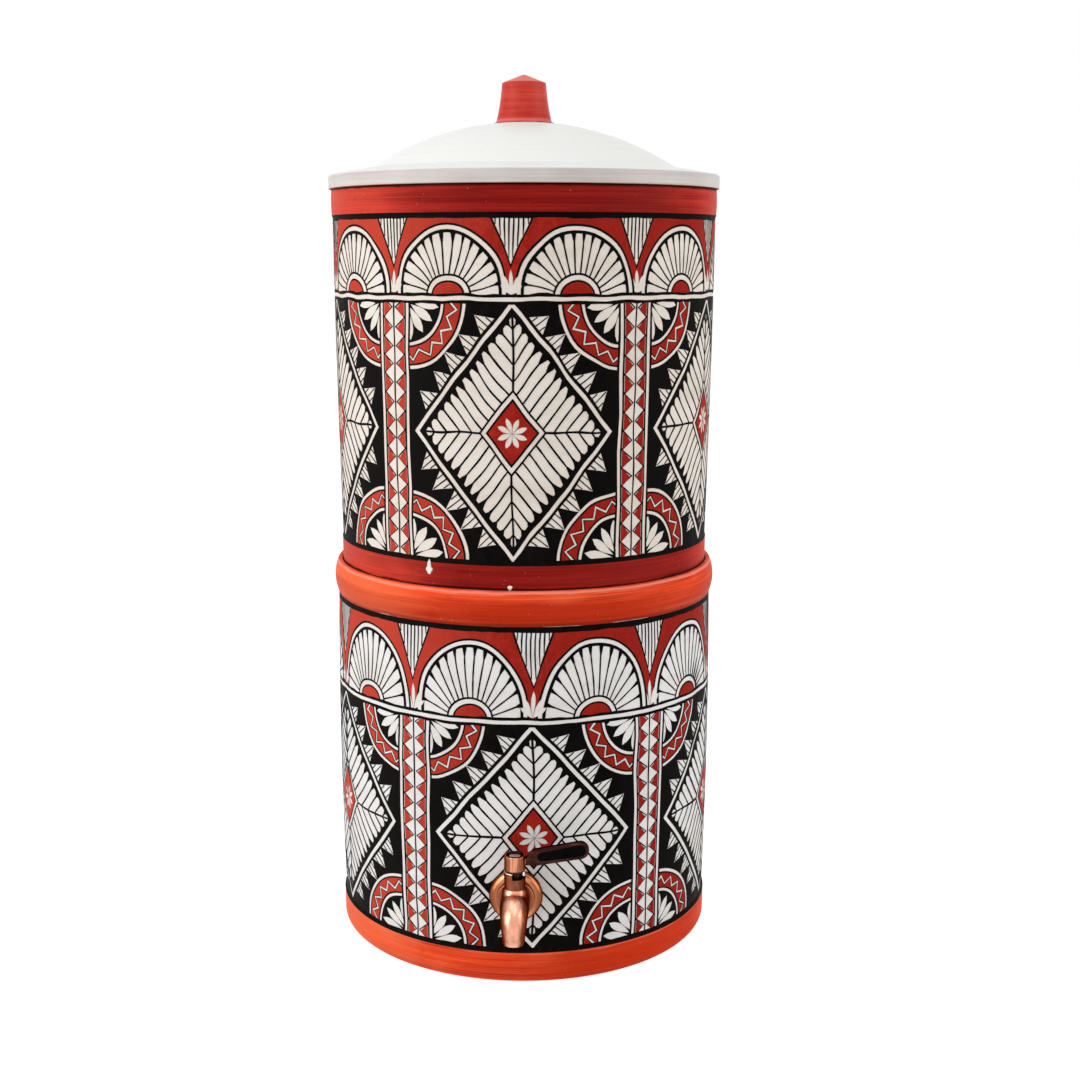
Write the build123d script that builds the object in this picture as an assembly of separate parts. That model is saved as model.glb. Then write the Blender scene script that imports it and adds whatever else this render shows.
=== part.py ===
from build123d import *
import math
import os

# Two-tier clay water jar with a lever tap.
# Millimetres, +Z up, origin at the centre of the lower jar's flat underside, tap on the -Y side.

# Clearances
seat_clearance = 0.8  # clay to clay, round the upper jar's foot and the lid's locating ring
lift_gap = 0.3  # between pieces that move past each other
running_fit = 0.05  # radial, a turning shaft in its bore
slip_fit = 0.1  # radial, a fixed piece in its hole
overrun = 1.0  # how far a cutting tool passes a face

# Lower jar, outside
neck_radius = 133.6  # just below the rolled rim
neck_height = 247.0
lower_belly_swell = 0.9  # belly stands out from the neck
lower_belly_height = 165.0
lower_waist_inset = 1.2  # waist lies inside the neck
lower_foot_height = 22.4
lower_foot_proud = 1.3  # foot band stands out from the waist
lower_foot_rounding = 7.0
band_step = 1.6  # height over which a band fades into the wall

# Rolled rim of the lower jar
rim_height = 23.5
rim_proud = 2.6  # roll stands out from the neck
rim_peak_height = 12.0  # widest place of the roll above the neck
rim_lip = 2.5  # clay left between the upper jar's seat and the neck radius
rim_rounding = 1.1
seat_depth = 8.5  # how far the upper jar's foot drops inside the rim
seat_width = 8.8  # ledge that carries the upper jar
seat_thickness = 9.0

# Clay thickness
lower_wall = 10.5
lower_floor = 13.0
upper_wall = 10.5
upper_floor = 13.0
floor_corner = 9.0  # inside, where floor meets wall
mouth_rounding = 1.5

# Upper jar, outside
upper_height = 266.0
upper_foot_height = 24.6
upper_foot_rounding = 2.5
upper_waist_inset = 0.6
upper_belly_flare = 1.7
upper_belly_rise = 150.0  # belly point above the underside
upper_neck_flare = 2.5
upper_band_height = 17.6
upper_band_proud = 1.1
upper_band_softness = 0.4  # the band's edges lie this far inside its middle
upper_band_rounding = 0.9

# Lid
lid_overhang = 1.5
lid_rim_thickness = 9.4
lid_rim_rounding = 2.2
lid_edge_rounding = 0.9
brim_width = 29.9
brim_rise = 5.0  # the brim climbs this much from rim to dome
dome_rise = 31.5
lid_thickness = 8.5
ring_depth = 9.0  # locating ring under the lid
ring_width = 8.0
ring_rounding = 2.0

# Knob
knob_joint_radius = 20.6
knob_joint_height = 1.3
knob_foot_radius = 19.2
knob_neck_radius = 16.6  # halfway up, a little hollow
knob_top_radius = 15.2
knob_side_height = 27.4
knob_cone_height = 6.0
knob_tip_rounding = 5.0
knob_edge_rounding = 1.0
knob_tenon_radius = 8.0

# Tap: wall fixing, sizes along the tap's own axis, outward from the wall
tap_height = 64.0
tap_hole_radius = 8.6
shank_radius = 8.0
shank_end_run = 4.0  # thread left beyond the nut
flange_radius = 17.9
flange_standoff = 0.6  # rim of the flange from the wall's foremost line
flange_rim = 1.1
flange_depth = 5.5
flange_sheet = 1.5
flange_bulge = 1.0  # how far the bell's flank swells outward
washer_radius = 12.2
inner_washer_radius = 13.0
inner_washer_thickness = 3.5
nut_across_flats = 24.0
nut_thickness = 7.0
nut_chamfer = 1.2

# Tap: body
collar_radius = 12.6
collar_thickness = 2.6
collar_rounding = 0.8
body_radius = 9.75
stem_reach = 16.0  # wall to stem axis
bend_reach = 24.0  # wall to the start of the elbow
bend_radius = 10.5
outlet_radius = 7.0
outlet_straight = 8.4  # downward run after the bend
outlet_bore_radius = 5.5
outlet_bore_length = 8.0
outlet_rounding = 0.6
passage_radius = 4.0
spout_sections = 7
spout_taper = 1.25  # power by which the spout narrows along its run; 1 is a straight taper
boss_radius = 8.4
boss_height = 11.6  # top of the boss above the tap's axis
boss_shoulder = 4.6  # height over which the boss draws in to the bonnet
boss_bulge = 0.45  # how far that shoulder swells outward

# Tap: ball, seats and retainer
ball_radius = 4.9
ball_bore_radius = 2.6
ball_slot_depth = 1.7
ball_slot_width = 2.2
cavity_radius = 5.2
seat_start = 3.0  # near face of a seat from the ball's centre
seat_end = 6.2  # far face of a seat from the ball's centre
seat_bore_radius = 2.9
retainer_length = 6.0
retainer_bore_radius = 3.2
retainer_slot_width = 1.6
retainer_slot_depth = 1.5

# Tap: bonnet and stem
bonnet_foot_radius = 6.9
bonnet_top_radius = 7.2
bonnet_height = 11.6
bonnet_spigot_radius = 5.6
bonnet_rounding = 0.5
notch_depth = 4.2
stem_radius = 3.4
stem_flange_radius = 4.7
stem_flange_thickness = 1.5
tongue_length = 4.2
stem_drive_width = 4.5
stem_drive_length = 5.0
ring_section = 0.55  # radius of the seal rings' round section
ring_groove_floor = 2.3
ring_squash = 0.03
seal_heights = (2.6, 5.8)  # seal rings above the bonnet's shoulder

# Lever
lever_turn = 90.0  # degrees
hub_radius = 7.0
hub_height = 10.0
hub_rounding = 0.5
hub_recess_radius = 4.7
hub_recess_depth = 2.2
hub_web = 2.4
dust_washer_radius = 6.6
dust_washer_thickness = 0.9
pin_radius = 0.9
pin_circle_radius = 5.5
pin_grip = 3.0  # length held in the hub
pin_reach = 3.2  # length standing in the notch
screw_head_radius = 3.8
screw_head_thickness = 1.2
screw_radius = 1.6
screw_length = 6.5
screw_slot_width = 0.9
screw_slot_depth = 0.5
lever_thickness = 4.2
lever_neck_low = 3.2  # underside of the neck above the hub's underside
lever_neck_high = 8.0
paddle_start = (14.6, 8.7)  # centre of the inner round: out from the stem, up from the hub
paddle_start_radius = 5.5
paddle_end = (42.7, 13.9)
paddle_end_radius = 5.8
shoulder_rounding = 4.0
paddle_edge_rounding = 0.7
inlay_start_setback = 3.1  # inlay's round ends inside the paddle's
inlay_start_radius = 3.0
inlay_border = 1.9
inlay_recess_depth = 1.0
inlay_thickness = 0.85

# Filter candle in the upper jar
candle_radius = 34.0
candle_height = 120.0
candle_wall = 8.0
candle_top_rounding = 24.0
cup_radius = 37.5
cup_height = 13.0
cup_floor = 4.0
cup_rounding = 2.0
candle_stem_radius = 6.0
candle_stem_length = 42.0
candle_bore_radius = 2.5
candle_hole_radius = 6.9
candle_washer_radius = 14.0
candle_washer_thickness = 3.0
wing_hub_radius = 9.0
wing_hub_height = 9.0
wing_span = 21.0
wing_thickness = 3.0
wing_height = 11.0
wing_rounding = 4.0

# Derived places of the clay pieces
lower_height = neck_height + rim_height
ledge_height = lower_height - seat_depth
rim_radius = neck_radius + rim_proud
upper_foot_radius = neck_radius - rim_lip - seat_clearance
seat_wall_radius = neck_radius - rim_lip
lower_mouth_radius = upper_foot_radius - seat_width
upper_top = ledge_height + upper_height
lower_waist_radius = neck_radius - lower_waist_inset
lower_foot_radius = lower_waist_radius + lower_foot_proud
upper_neck_radius = upper_foot_radius + upper_neck_flare
upper_band_radius = upper_neck_radius + upper_band_proud
mouth_radius = upper_neck_radius - upper_wall
lid_radius = upper_band_radius + lid_overhang
dome_base_radius = lid_radius - brim_width
dome_base_height = upper_top + lid_rim_thickness + brim_rise
dome_radius = (dome_base_radius**2 + dome_rise**2) / (2 * dome_rise)
dome_centre_height = dome_base_height + dome_rise - dome_radius
knob_seat_height = dome_centre_height + math.sqrt(dome_radius**2 - knob_joint_radius**2)

# Walls of the two jars: low, middle and high point as (radius, height)
lower_wall_points = (
    (lower_waist_radius, lower_foot_height + band_step),
    (neck_radius + lower_belly_swell, lower_belly_height),
    (neck_radius, neck_height),
)
upper_wall_points = (
    (upper_foot_radius - upper_waist_inset, ledge_height + upper_foot_height + band_step),
    (upper_foot_radius + upper_belly_flare, ledge_height + upper_belly_rise),
    (upper_neck_radius, upper_top - upper_band_height - band_step),
)


def arc_radius(points, height):
    """Radius at one height on the arc through three (radius, height) points."""
    (r1, z1), (r2, z2), (r3, z3) = points
    cross = 2 * (r1 * (z2 - z3) + r2 * (z3 - z1) + r3 * (z1 - z2))
    s1, s2, s3 = r1**2 + z1**2, r2**2 + z2**2, r3**2 + z3**2
    centre_r = (s1 * (z2 - z3) + s2 * (z3 - z1) + s3 * (z1 - z2)) / cross
    centre_z = (s1 * (r3 - r2) + s2 * (r1 - r3) + s3 * (r2 - r1)) / cross
    arc = math.hypot(r1 - centre_r, z1 - centre_z)
    side = math.copysign(1, r2 - centre_r)
    return centre_r + side * math.sqrt(arc**2 - (height - centre_z) ** 2)


def moved_in(points, wall):
    """The same three wall points, one wall thickness further in."""
    return [(radius - wall, height) for radius, height in points]


# Derived places of the tap
tap_wall_radius = arc_radius(lower_wall_points, tap_height)
stem_y = -(tap_wall_radius + stem_reach)
collar_back = flange_standoff + flange_depth
washer_front = collar_back - flange_sheet
inner_washer_face = -(lower_wall + inner_washer_thickness)
nut_face = inner_washer_face - nut_thickness
shank_end = nut_face - shank_end_run
boss_top = tap_height + boss_height
bonnet_top = boss_top + bonnet_height
hub_bottom = bonnet_top + lift_gap + dust_washer_thickness
stem_flange_base = tap_height + cavity_radius + lift_gap
bonnet_shoulder = stem_flange_base + stem_flange_thickness + lift_gap
bend_run = bend_radius * math.pi / 2
spout_run = bend_run + outlet_straight
tap_frame = Plane(origin=(0, -tap_wall_radius, tap_height), x_dir=(1, 0, 0), z_dir=(0, -1, 0))
stem_axis = Pos(0, stem_y, 0)

# Derived places of the filter
upper_floor_height = ledge_height + upper_floor
cup_base = upper_floor_height + candle_washer_thickness
nut_top = ledge_height - candle_washer_thickness


def turned(sketch):
    """Turn a sketch of radius against height about the Z axis."""
    return revolve(Plane.XZ * sketch, Axis.Z)


def ring(outer, inner, bottom, top):
    """A plain ring between two heights."""
    outline = Pos((outer + inner) / 2, (bottom + top) / 2) * Rectangle(outer - inner, top - bottom)
    return turned(outline)


def rod(radius, bottom, top):
    """A plain upright rod between two heights."""
    return Pos(0, 0, (bottom + top) / 2) * Cylinder(radius, top - bottom)


def rounded(sketch, corner, radius):
    """Round the corner of an outline that lies nearest to a point."""
    return fillet(sketch.vertices().sort_by_distance(Vector(*corner, 0))[0], radius)


def tapered_slot(start, start_radius, end, end_radius):
    """Outline round two circles of different size, with straight sides that touch both."""
    along = Vector(*end, 0) - Vector(*start, 0)
    heading = math.atan2(along.Y, along.X)
    spread = math.acos((start_radius - end_radius) / along.length)

    def on_round(centre, radius, angle):
        return (centre[0] + radius * math.cos(angle), centre[1] + radius * math.sin(angle))

    start_low = on_round(start, start_radius, heading - spread)
    start_high = on_round(start, start_radius, heading + spread)
    end_low = on_round(end, end_radius, heading - spread)
    end_high = on_round(end, end_radius, heading + spread)
    edges = [
        Line(start_low, end_low),
        ThreePointArc(end_low, on_round(end, end_radius, heading), end_high),
        Line(end_high, start_high),
        ThreePointArc(start_high, on_round(start, start_radius, heading + math.pi), start_low),
    ]
    return make_face(edges)


# Clay jars


def lower_outer_form():
    """The lower jar's outside, solid: foot band, swelling wall and rolled rim."""
    waist, belly, neck = lower_wall_points
    rim_top = (seat_wall_radius + rim_lip, lower_height)
    foot_edge = (lower_foot_radius, 0)
    foot_top = (lower_foot_radius, lower_foot_height)
    outline = make_face(
        [
            Line((0, 0), foot_edge),
            Line(foot_edge, foot_top),
            Line(foot_top, waist),
            ThreePointArc(waist, belly, neck),
            ThreePointArc(neck, (rim_radius, neck_height + rim_peak_height), rim_top),
            Line(rim_top, (0, lower_height)),
            Line((0, lower_height), (0, 0)),
        ]
    )
    outline = rounded(outline, foot_edge, lower_foot_rounding)
    outline = rounded(outline, rim_top, rim_rounding)
    return turned(outline)


def lower_inner_form():
    """The space inside the lower jar, up to and through its mouth."""
    low, middle, high = moved_in(lower_wall_points, lower_wall)
    floor_edge = (arc_radius((low, middle, high), lower_floor), lower_floor)
    throat = ledge_height - seat_thickness
    under_throat = throat - (high[0] - lower_mouth_radius)
    wall_top = (arc_radius((low, middle, high), under_throat), under_throat)
    open_height = lower_height + overrun
    outline = make_face(
        [
            Line((0, lower_floor), floor_edge),
            ThreePointArc(floor_edge, middle, wall_top),
            Line(wall_top, (lower_mouth_radius, throat)),
            Line((lower_mouth_radius, throat), (lower_mouth_radius, ledge_height)),
            Line((lower_mouth_radius, ledge_height), (seat_wall_radius, ledge_height)),
            Line((seat_wall_radius, ledge_height), (seat_wall_radius, open_height)),
            Line((seat_wall_radius, open_height), (0, open_height)),
            Line((0, open_height), (0, lower_floor)),
        ]
    )
    return turned(rounded(outline, floor_edge, floor_corner))


def lower_jar():
    """Lower vessel with the hole for the tap's shank."""
    hole = tap_frame * Pos(0, 0, -lower_wall / 2) * Cylinder(tap_hole_radius, 2 * lower_wall)
    return lower_outer_form() - lower_inner_form() - hole


def upper_outer_form():
    """The upper jar's outside, solid: foot band, wall that widens upward, and top band."""
    waist, belly, neck = upper_wall_points
    band_low = (upper_band_radius - upper_band_softness, upper_top - upper_band_height)
    band_mid = (upper_band_radius, upper_top - upper_band_height / 2)
    band_high = (upper_band_radius - upper_band_softness, upper_top)
    foot_edge = (upper_foot_radius, ledge_height)
    foot_top = (upper_foot_radius, ledge_height + upper_foot_height)
    outline = make_face(
        [
            Line((0, ledge_height), foot_edge),
            Line(foot_edge, foot_top),
            Line(foot_top, waist),
            ThreePointArc(waist, belly, neck),
            Line(neck, band_low),
            ThreePointArc(band_low, band_mid, band_high),
            Line(band_high, (0, upper_top)),
            Line((0, upper_top), (0, ledge_height)),
        ]
    )
    outline = rounded(outline, foot_edge, upper_foot_rounding)
    outline = rounded(outline, band_high, upper_band_rounding)
    return turned(outline)


def upper_jar():
    """Upper vessel with the hole for the filter's stem."""
    low, middle, high = moved_in(upper_wall_points, upper_wall)
    wall_points = (low, middle, high)
    floor_edge = (arc_radius(wall_points, upper_floor_height), upper_floor_height)
    mouth = (mouth_radius, upper_top)
    flare_start = (mouth_radius, high[1])
    outline = make_face(
        [
            Line((0, upper_floor_height), floor_edge),
            ThreePointArc(floor_edge, middle, flare_start),
            Line(flare_start, mouth),
            Line(mouth, (0, upper_top)),
            Line((0, upper_top), (0, upper_floor_height)),
        ]
    )
    hollow = turned(rounded(outline, floor_edge, floor_corner))
    hole = rod(candle_hole_radius, ledge_height - overrun, upper_floor_height + overrun)
    body = upper_outer_form() - hollow - hole
    circles = body.edges().filter_by(GeomType.CIRCLE)
    mouth_edge = circles.sort_by_distance(Vector(mouth_radius, 0, upper_top))[0]
    return fillet(mouth_edge, mouth_rounding)


# Lid and knob


def dome_height(radius):
    """Height of the dome's outer face at a radius."""
    return dome_centre_height + math.sqrt(dome_radius**2 - radius**2)


def lid():
    """Lid with a thick rim, a brim that climbs to a shallow dome, and a locating ring below."""
    rim_top = upper_top + lid_rim_thickness
    ring_outer = mouth_radius - seat_clearance
    ring_inner = ring_outer - ring_width
    ring_foot = upper_top - ring_depth
    inner_dome = dome_radius - lid_thickness
    inner_edge_height = dome_base_height - lid_thickness
    inner_edge = math.sqrt(inner_dome**2 - (inner_edge_height - dome_centre_height) ** 2)
    middle = (knob_joint_radius + dome_base_radius) / 2
    inner_mid = inner_edge / 2
    inner_mid_height = dome_centre_height + math.sqrt(inner_dome**2 - inner_mid**2)
    crown = (0, dome_centre_height + inner_dome)
    tenon_hole = knob_tenon_radius + slip_fit
    outline = make_face(
        [
            Line((0, knob_seat_height), (knob_joint_radius, knob_seat_height)),
            ThreePointArc(
                (knob_joint_radius, knob_seat_height),
                (middle, dome_height(middle)),
                (dome_base_radius, dome_base_height),
            ),
            Line((dome_base_radius, dome_base_height), (lid_radius, rim_top)),
            Line((lid_radius, rim_top), (lid_radius, upper_top)),
            Line((lid_radius, upper_top), (ring_outer, upper_top)),
            Line((ring_outer, upper_top), (ring_outer, ring_foot)),
            Line((ring_outer, ring_foot), (ring_inner, ring_foot)),
            Line((ring_inner, ring_foot), (ring_inner, upper_top)),
            Line((ring_inner, upper_top), (inner_edge, inner_edge_height)),
            ThreePointArc((inner_edge, inner_edge_height), (inner_mid, inner_mid_height), crown),
            Line(crown, (0, knob_seat_height)),
        ]
    )
    outline = rounded(outline, (lid_radius, rim_top), lid_rim_rounding)
    outline = rounded(outline, (lid_radius, upper_top), lid_edge_rounding)
    outline = rounded(outline, (ring_outer, ring_foot), ring_rounding)
    outline = rounded(outline, (ring_inner, ring_foot), ring_rounding)
    return turned(outline) - rod(tenon_hole, upper_top, knob_seat_height + overrun)


def lid_knob():
    """Tapered knob with a flared joint, a low cone on top and a tenon through the lid."""
    side_foot = knob_seat_height + knob_joint_height
    side_top = knob_seat_height + knob_side_height
    tip = side_top + knob_cone_height
    tenon_end = dome_centre_height + dome_radius - lid_thickness
    middle_height = (side_foot + side_top) / 2
    outline = make_face(
        [
            Line((0, tenon_end), (knob_tenon_radius, tenon_end)),
            Line((knob_tenon_radius, tenon_end), (knob_tenon_radius, knob_seat_height)),
            Line((knob_tenon_radius, knob_seat_height), (knob_joint_radius, knob_seat_height)),
            Line((knob_joint_radius, knob_seat_height), (knob_foot_radius, side_foot)),
            ThreePointArc(
                (knob_foot_radius, side_foot),
                (knob_neck_radius, middle_height),
                (knob_top_radius, side_top),
            ),
            Line((knob_top_radius, side_top), (0, tip)),
            Line((0, tip), (0, tenon_end)),
        ]
    )
    outline = rounded(outline, (knob_top_radius, side_top), knob_edge_rounding)
    knob = turned(outline)
    # The tip is blunted by a ball that touches the cone from inside.
    slope = math.atan2(knob_cone_height, knob_top_radius)
    ball_centre = tip - knob_tip_rounding / math.cos(slope)
    touch_height = ball_centre + knob_tip_rounding * math.cos(slope)
    blunt = rod(knob_top_radius, touch_height, tip + overrun)
    ball = Pos(0, 0, ball_centre) * Sphere(knob_tip_rounding)
    return knob - (blunt - ball)


# Tap: what clamps it to the wall


def flange_outline(shrink):
    """Bell outline, outward against radius, made smaller all round by the sheet thickness."""
    rim = flange_radius - shrink
    front = collar_back - shrink
    foot = (rim, flange_standoff)
    lip = (rim, flange_standoff + flange_rim)
    shoulder = (collar_radius - shrink, front)
    flank = ((lip[0] + shoulder[0]) / 2 + flange_bulge, (lip[1] + shoulder[1]) / 2 + flange_bulge)
    return make_face(
        [
            Line((0, flange_standoff), foot),
            Line(foot, lip),
            ThreePointArc(lip, flank, shoulder),
            Line(shoulder, (0, front)),
            Line((0, front), (0, flange_standoff)),
        ]
    )


def tap_flange():
    """Bell-shaped plate, open towards the wall, held under the body's collar."""
    bell = turned(flange_outline(0)) - turned(flange_outline(flange_sheet))
    hole = rod(shank_radius + slip_fit, -overrun, collar_back + overrun)
    return tap_frame * (bell - hole)


def outer_washer():
    """Soft washer between the flange and the curved wall."""
    blank = tap_frame * ring(washer_radius, shank_radius + slip_fit, -lower_wall / 2, washer_front)
    return blank - lower_outer_form()


def inner_washer():
    """Soft washer against the curved inside of the wall."""
    reach = -lower_wall + overrun
    blank = tap_frame * ring(inner_washer_radius, shank_radius + slip_fit, inner_washer_face, reach)
    return blank & lower_inner_form()


def back_nut():
    """Hexagon nut with both faces chamfered at the corners."""
    hexagon = RegularPolygon(nut_across_flats / 2, 6, major_radius=False)
    nut = Pos(0, 0, nut_face) * extrude(hexagon, nut_thickness)
    corner_radius = nut_across_flats / math.sqrt(3)
    trim = rod(corner_radius, nut_face, nut_face + nut_thickness)
    trim = chamfer(trim.edges().filter_by(GeomType.CIRCLE), nut_chamfer)
    bore = rod(shank_radius + slip_fit, nut_face - overrun, inner_washer_face + overrun)
    return tap_frame * ((nut & trim) - bore)


# Tap: body


def spout_plane(run):
    """Plane across the spout after a run along its centre line, in the tap's frame."""
    angle = min(run / bend_radius, math.pi / 2)
    down = run - bend_radius * angle
    place = Vector(
        0,
        -bend_radius + bend_radius * math.cos(angle) - down,
        bend_reach + bend_radius * math.sin(angle),
    )
    return Plane(origin=place, x_dir=(1, 0, 0), z_dir=(0, -math.sin(angle), math.cos(angle)))


def spout():
    """Elbow that turns down and tapers to the outlet."""
    sections = []
    for index in range(spout_sections):
        share = index / (spout_sections - 1)
        radius = body_radius + (outlet_radius - body_radius) * share**spout_taper
        sections.append(spout_plane(share * spout_run) * Circle(radius))
    return loft(sections)


def water_way():
    """The passage from the ball to the outlet, with the wider bore at the outlet."""
    start, middle, end = (spout_plane(share * bend_run).origin for share in (0, 1 / 2, 1))
    path = ThreePointArc(start, middle, end)
    inlet = Pos(0, 0, stem_reach) * rod(passage_radius, 0, bend_reach - stem_reach)
    bend = sweep(spout_plane(0) * Circle(passage_radius), path=path)
    down = extrude(spout_plane(bend_run) * Circle(passage_radius), outlet_straight)
    mouth_plane = spout_plane(spout_run - outlet_bore_length)
    mouth = extrude(mouth_plane * Circle(outlet_bore_radius), outlet_bore_length + overrun)
    return inlet + bend + down + mouth


def boss():
    """Upright boss round the stem, with a shoulder that draws in to the bonnet's foot."""
    shoulder = (boss_radius, boss_top - boss_shoulder)
    rim = (bonnet_foot_radius + slip_fit, boss_top)
    swell = ((shoulder[0] + rim[0]) / 2 + boss_bulge, (shoulder[1] + rim[1]) / 2 + boss_bulge)
    outline = make_face(
        [
            Line((0, tap_height), (boss_radius, tap_height)),
            Line((boss_radius, tap_height), shoulder),
            ThreePointArc(shoulder, swell, rim),
            Line(rim, (0, boss_top)),
            Line((0, boss_top), (0, tap_height)),
        ]
    )
    return stem_axis * turned(outline)


def tap_body():
    """Shank, collar, valve chamber, boss and spout in one casting."""
    shank = rod(shank_radius, shank_end, collar_back)
    collar = rod(collar_radius, collar_back, collar_back + collar_thickness)
    collar = fillet(collar.edges().filter_by(GeomType.CIRCLE).sort_by(Axis.Z)[-1], collar_rounding)
    barrel = rod(body_radius, collar_back, bend_reach)
    chamber_front = stem_reach + seat_end
    cavity = rod(cavity_radius, shank_end - overrun, chamber_front)
    horizontal = tap_frame * (shank + collar + barrel + spout())
    thread_radius = bonnet_spigot_radius + slip_fit
    spigot_bore = stem_axis * rod(thread_radius, bonnet_shoulder - lift_gap, boss_top + overrun)
    flange_bore = stem_axis * rod(stem_flange_radius + lift_gap, tap_height, boss_top)
    body = horizontal + boss()
    body = body - (tap_frame * (cavity + water_way())) - spigot_bore - flange_bore
    outlet_edges = body.edges().filter_by(GeomType.CIRCLE).group_by(Axis.Z)[0]
    outer_edge = outlet_edges.sort_by(SortBy.RADIUS)[-1]
    return fillet(outer_edge, outlet_rounding)


# Tap: ball valve


def valve_ball():
    """Ball with its bore across the flow, as when the tap is closed, and the slot for the stem."""
    ball = Sphere(ball_radius) - Rot(0, 90, 0) * Cylinder(ball_bore_radius, 2 * ball_radius + overrun)
    slot_box = Box(
        2 * ball_radius,
        ball_slot_width,
        ball_slot_depth + overrun,
        align=(Align.CENTER, Align.CENTER, Align.MIN),
    )
    slot = Pos(0, 0, ball_radius - ball_slot_depth) * slot_box
    return stem_axis * Pos(0, 0, tap_height) * (ball - slot)


def valve_seat(side):
    """Seat ring hollowed to the ball; side is +1 outward of the ball and -1 towards the wall."""
    blank = ring(cavity_radius - slip_fit, seat_bore_radius, seat_start, seat_end)
    cup = Sphere(ball_radius + lift_gap)
    seat = blank - cup
    facing = Rot(0, 0, 0) if side > 0 else Rot(180, 0, 0)
    return tap_frame * Pos(0, 0, stem_reach) * facing * seat


def seat_retainer():
    """Hollow screw behind the rear seat, with a driver slot across its back."""
    front = stem_reach - seat_end
    back = front - retainer_length
    body = ring(cavity_radius - slip_fit, retainer_bore_radius, back, front)
    slot = Pos(0, 0, back) * Box(2 * cavity_radius, retainer_slot_width, 2 * retainer_slot_depth)
    return tap_frame * (body - slot)


def valve_stem():
    """Stem with tongue, flange, two seal grooves, square drive and tapped hole."""
    drive_top = hub_bottom + stem_drive_length
    flange = rod(stem_flange_radius, stem_flange_base, stem_flange_base + stem_flange_thickness)
    shaft = rod(stem_radius, stem_flange_base, hub_bottom)
    drive = Pos(0, 0, hub_bottom) * Box(
        stem_drive_width,
        stem_drive_width,
        stem_drive_length,
        align=(Align.CENTER, Align.CENTER, Align.MIN),
    )
    tongue_foot = tap_height + ball_radius - ball_slot_depth + slip_fit
    tongue = Pos(0, 0, tongue_foot) * Box(
        tongue_length,
        ball_slot_width - 2 * slip_fit,
        stem_flange_base - tongue_foot,
        align=(Align.CENTER, Align.CENTER, Align.MIN),
    )
    stem = flange + shaft + drive + tongue
    half_groove = ring_section + slip_fit
    for rise in seal_heights:
        low, high = bonnet_shoulder + rise - half_groove, bonnet_shoulder + rise + half_groove
        stem = stem - ring(stem_radius + overrun, ring_groove_floor, low, high)
    tapped = rod(screw_radius + slip_fit, drive_top - screw_length, drive_top + overrun)
    return stem_axis * (stem - tapped)


def stem_o_rings():
    """The two round seals in the stem's grooves."""
    centre_radius = ring_groove_floor + ring_section + ring_squash
    seal = Torus(centre_radius, ring_section)
    seals = [Pos(0, 0, bonnet_shoulder + rise) * seal for rise in seal_heights]
    return stem_axis * Compound(children=seals)


def tap_bonnet():
    """Barrel screwed into the boss, bored for the stem, with the notch that stops the lever."""
    outline = make_face(
        [
            Line((0, bonnet_shoulder), (bonnet_spigot_radius, bonnet_shoulder)),
            Line((bonnet_spigot_radius, bonnet_shoulder), (bonnet_spigot_radius, boss_top)),
            Line((bonnet_spigot_radius, boss_top), (bonnet_foot_radius, boss_top)),
            Line((bonnet_foot_radius, boss_top), (bonnet_top_radius, bonnet_top)),
            Line((bonnet_top_radius, bonnet_top), (0, bonnet_top)),
            Line((0, bonnet_top), (0, bonnet_shoulder)),
        ]
    )
    barrel = turned(rounded(outline, (bonnet_top_radius, bonnet_top), bonnet_rounding))
    bore = rod(stem_radius + running_fit, bonnet_shoulder - overrun, bonnet_top + overrun)
    margin = math.degrees((pin_radius + lift_gap) / pin_circle_radius)
    sweep_angle = lever_turn + 2 * margin
    edge = CenterArc((0, 0), bonnet_top_radius + overrun, margin, -sweep_angle)
    sector = make_face([Line((0, 0), edge @ 0), edge, Line(edge @ 1, (0, 0))])
    notch = Pos(0, 0, bonnet_top - notch_depth) * extrude(sector, notch_depth + overrun)
    return stem_axis * (barrel - bore - notch)


# Lever


def lever_handle():
    """Round hub with a tapered paddle on edge, recessed for its inlay, screw, pin and stem."""
    hub = rod(hub_radius, 0, hub_height)
    hub = fillet(hub.edges().filter_by(GeomType.CIRCLE), hub_rounding)
    paddle = tapered_slot(paddle_start, paddle_start_radius, paddle_end, paddle_end_radius)
    neck_end = paddle_start[0]
    neck = make_face(
        Polyline(
            (0, lever_neck_low),
            (neck_end, paddle_start[1] - paddle_start_radius + slip_fit),
            (neck_end, lever_neck_high),
            (0, lever_neck_high),
            close=True,
        )
    )
    side = paddle + neck
    corner = (paddle_start[0] - paddle_start_radius, lever_neck_high)
    inner_corner = side.vertices().sort_by_distance(Vector(*corner, 0))[0]
    side = fillet(inner_corner, shoulder_rounding)
    blade = extrude(Plane.XZ * side, lever_thickness / 2, both=True)
    long_edges = blade.edges().group_by(Axis.Y)
    blade = fillet(long_edges[0] + long_edges[-1], paddle_edge_rounding)
    handle = hub + (blade - rod(hub_recess_radius, 0, hub_height + overrun))
    recess = rod(hub_recess_radius, hub_height - hub_recess_depth, hub_height + overrun)
    socket_height = hub_height - hub_recess_depth - hub_web
    socket = Box(
        stem_drive_width + 2 * slip_fit,
        stem_drive_width + 2 * slip_fit,
        socket_height + overrun,
        align=(Align.CENTER, Align.CENTER, Align.MIN),
    )
    screw_hole = rod(screw_radius + slip_fit, 0, hub_height)
    pin_hole = Pos(pin_circle_radius, 0, 0) * rod(pin_radius + running_fit, -overrun, pin_grip)
    handle = handle - recess - Pos(0, 0, -overrun) * socket - screw_hole - pin_hole
    handle = handle - inlay_form(inlay_recess_depth, running_fit)
    return stem_axis * Pos(0, 0, hub_bottom) * handle


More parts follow.
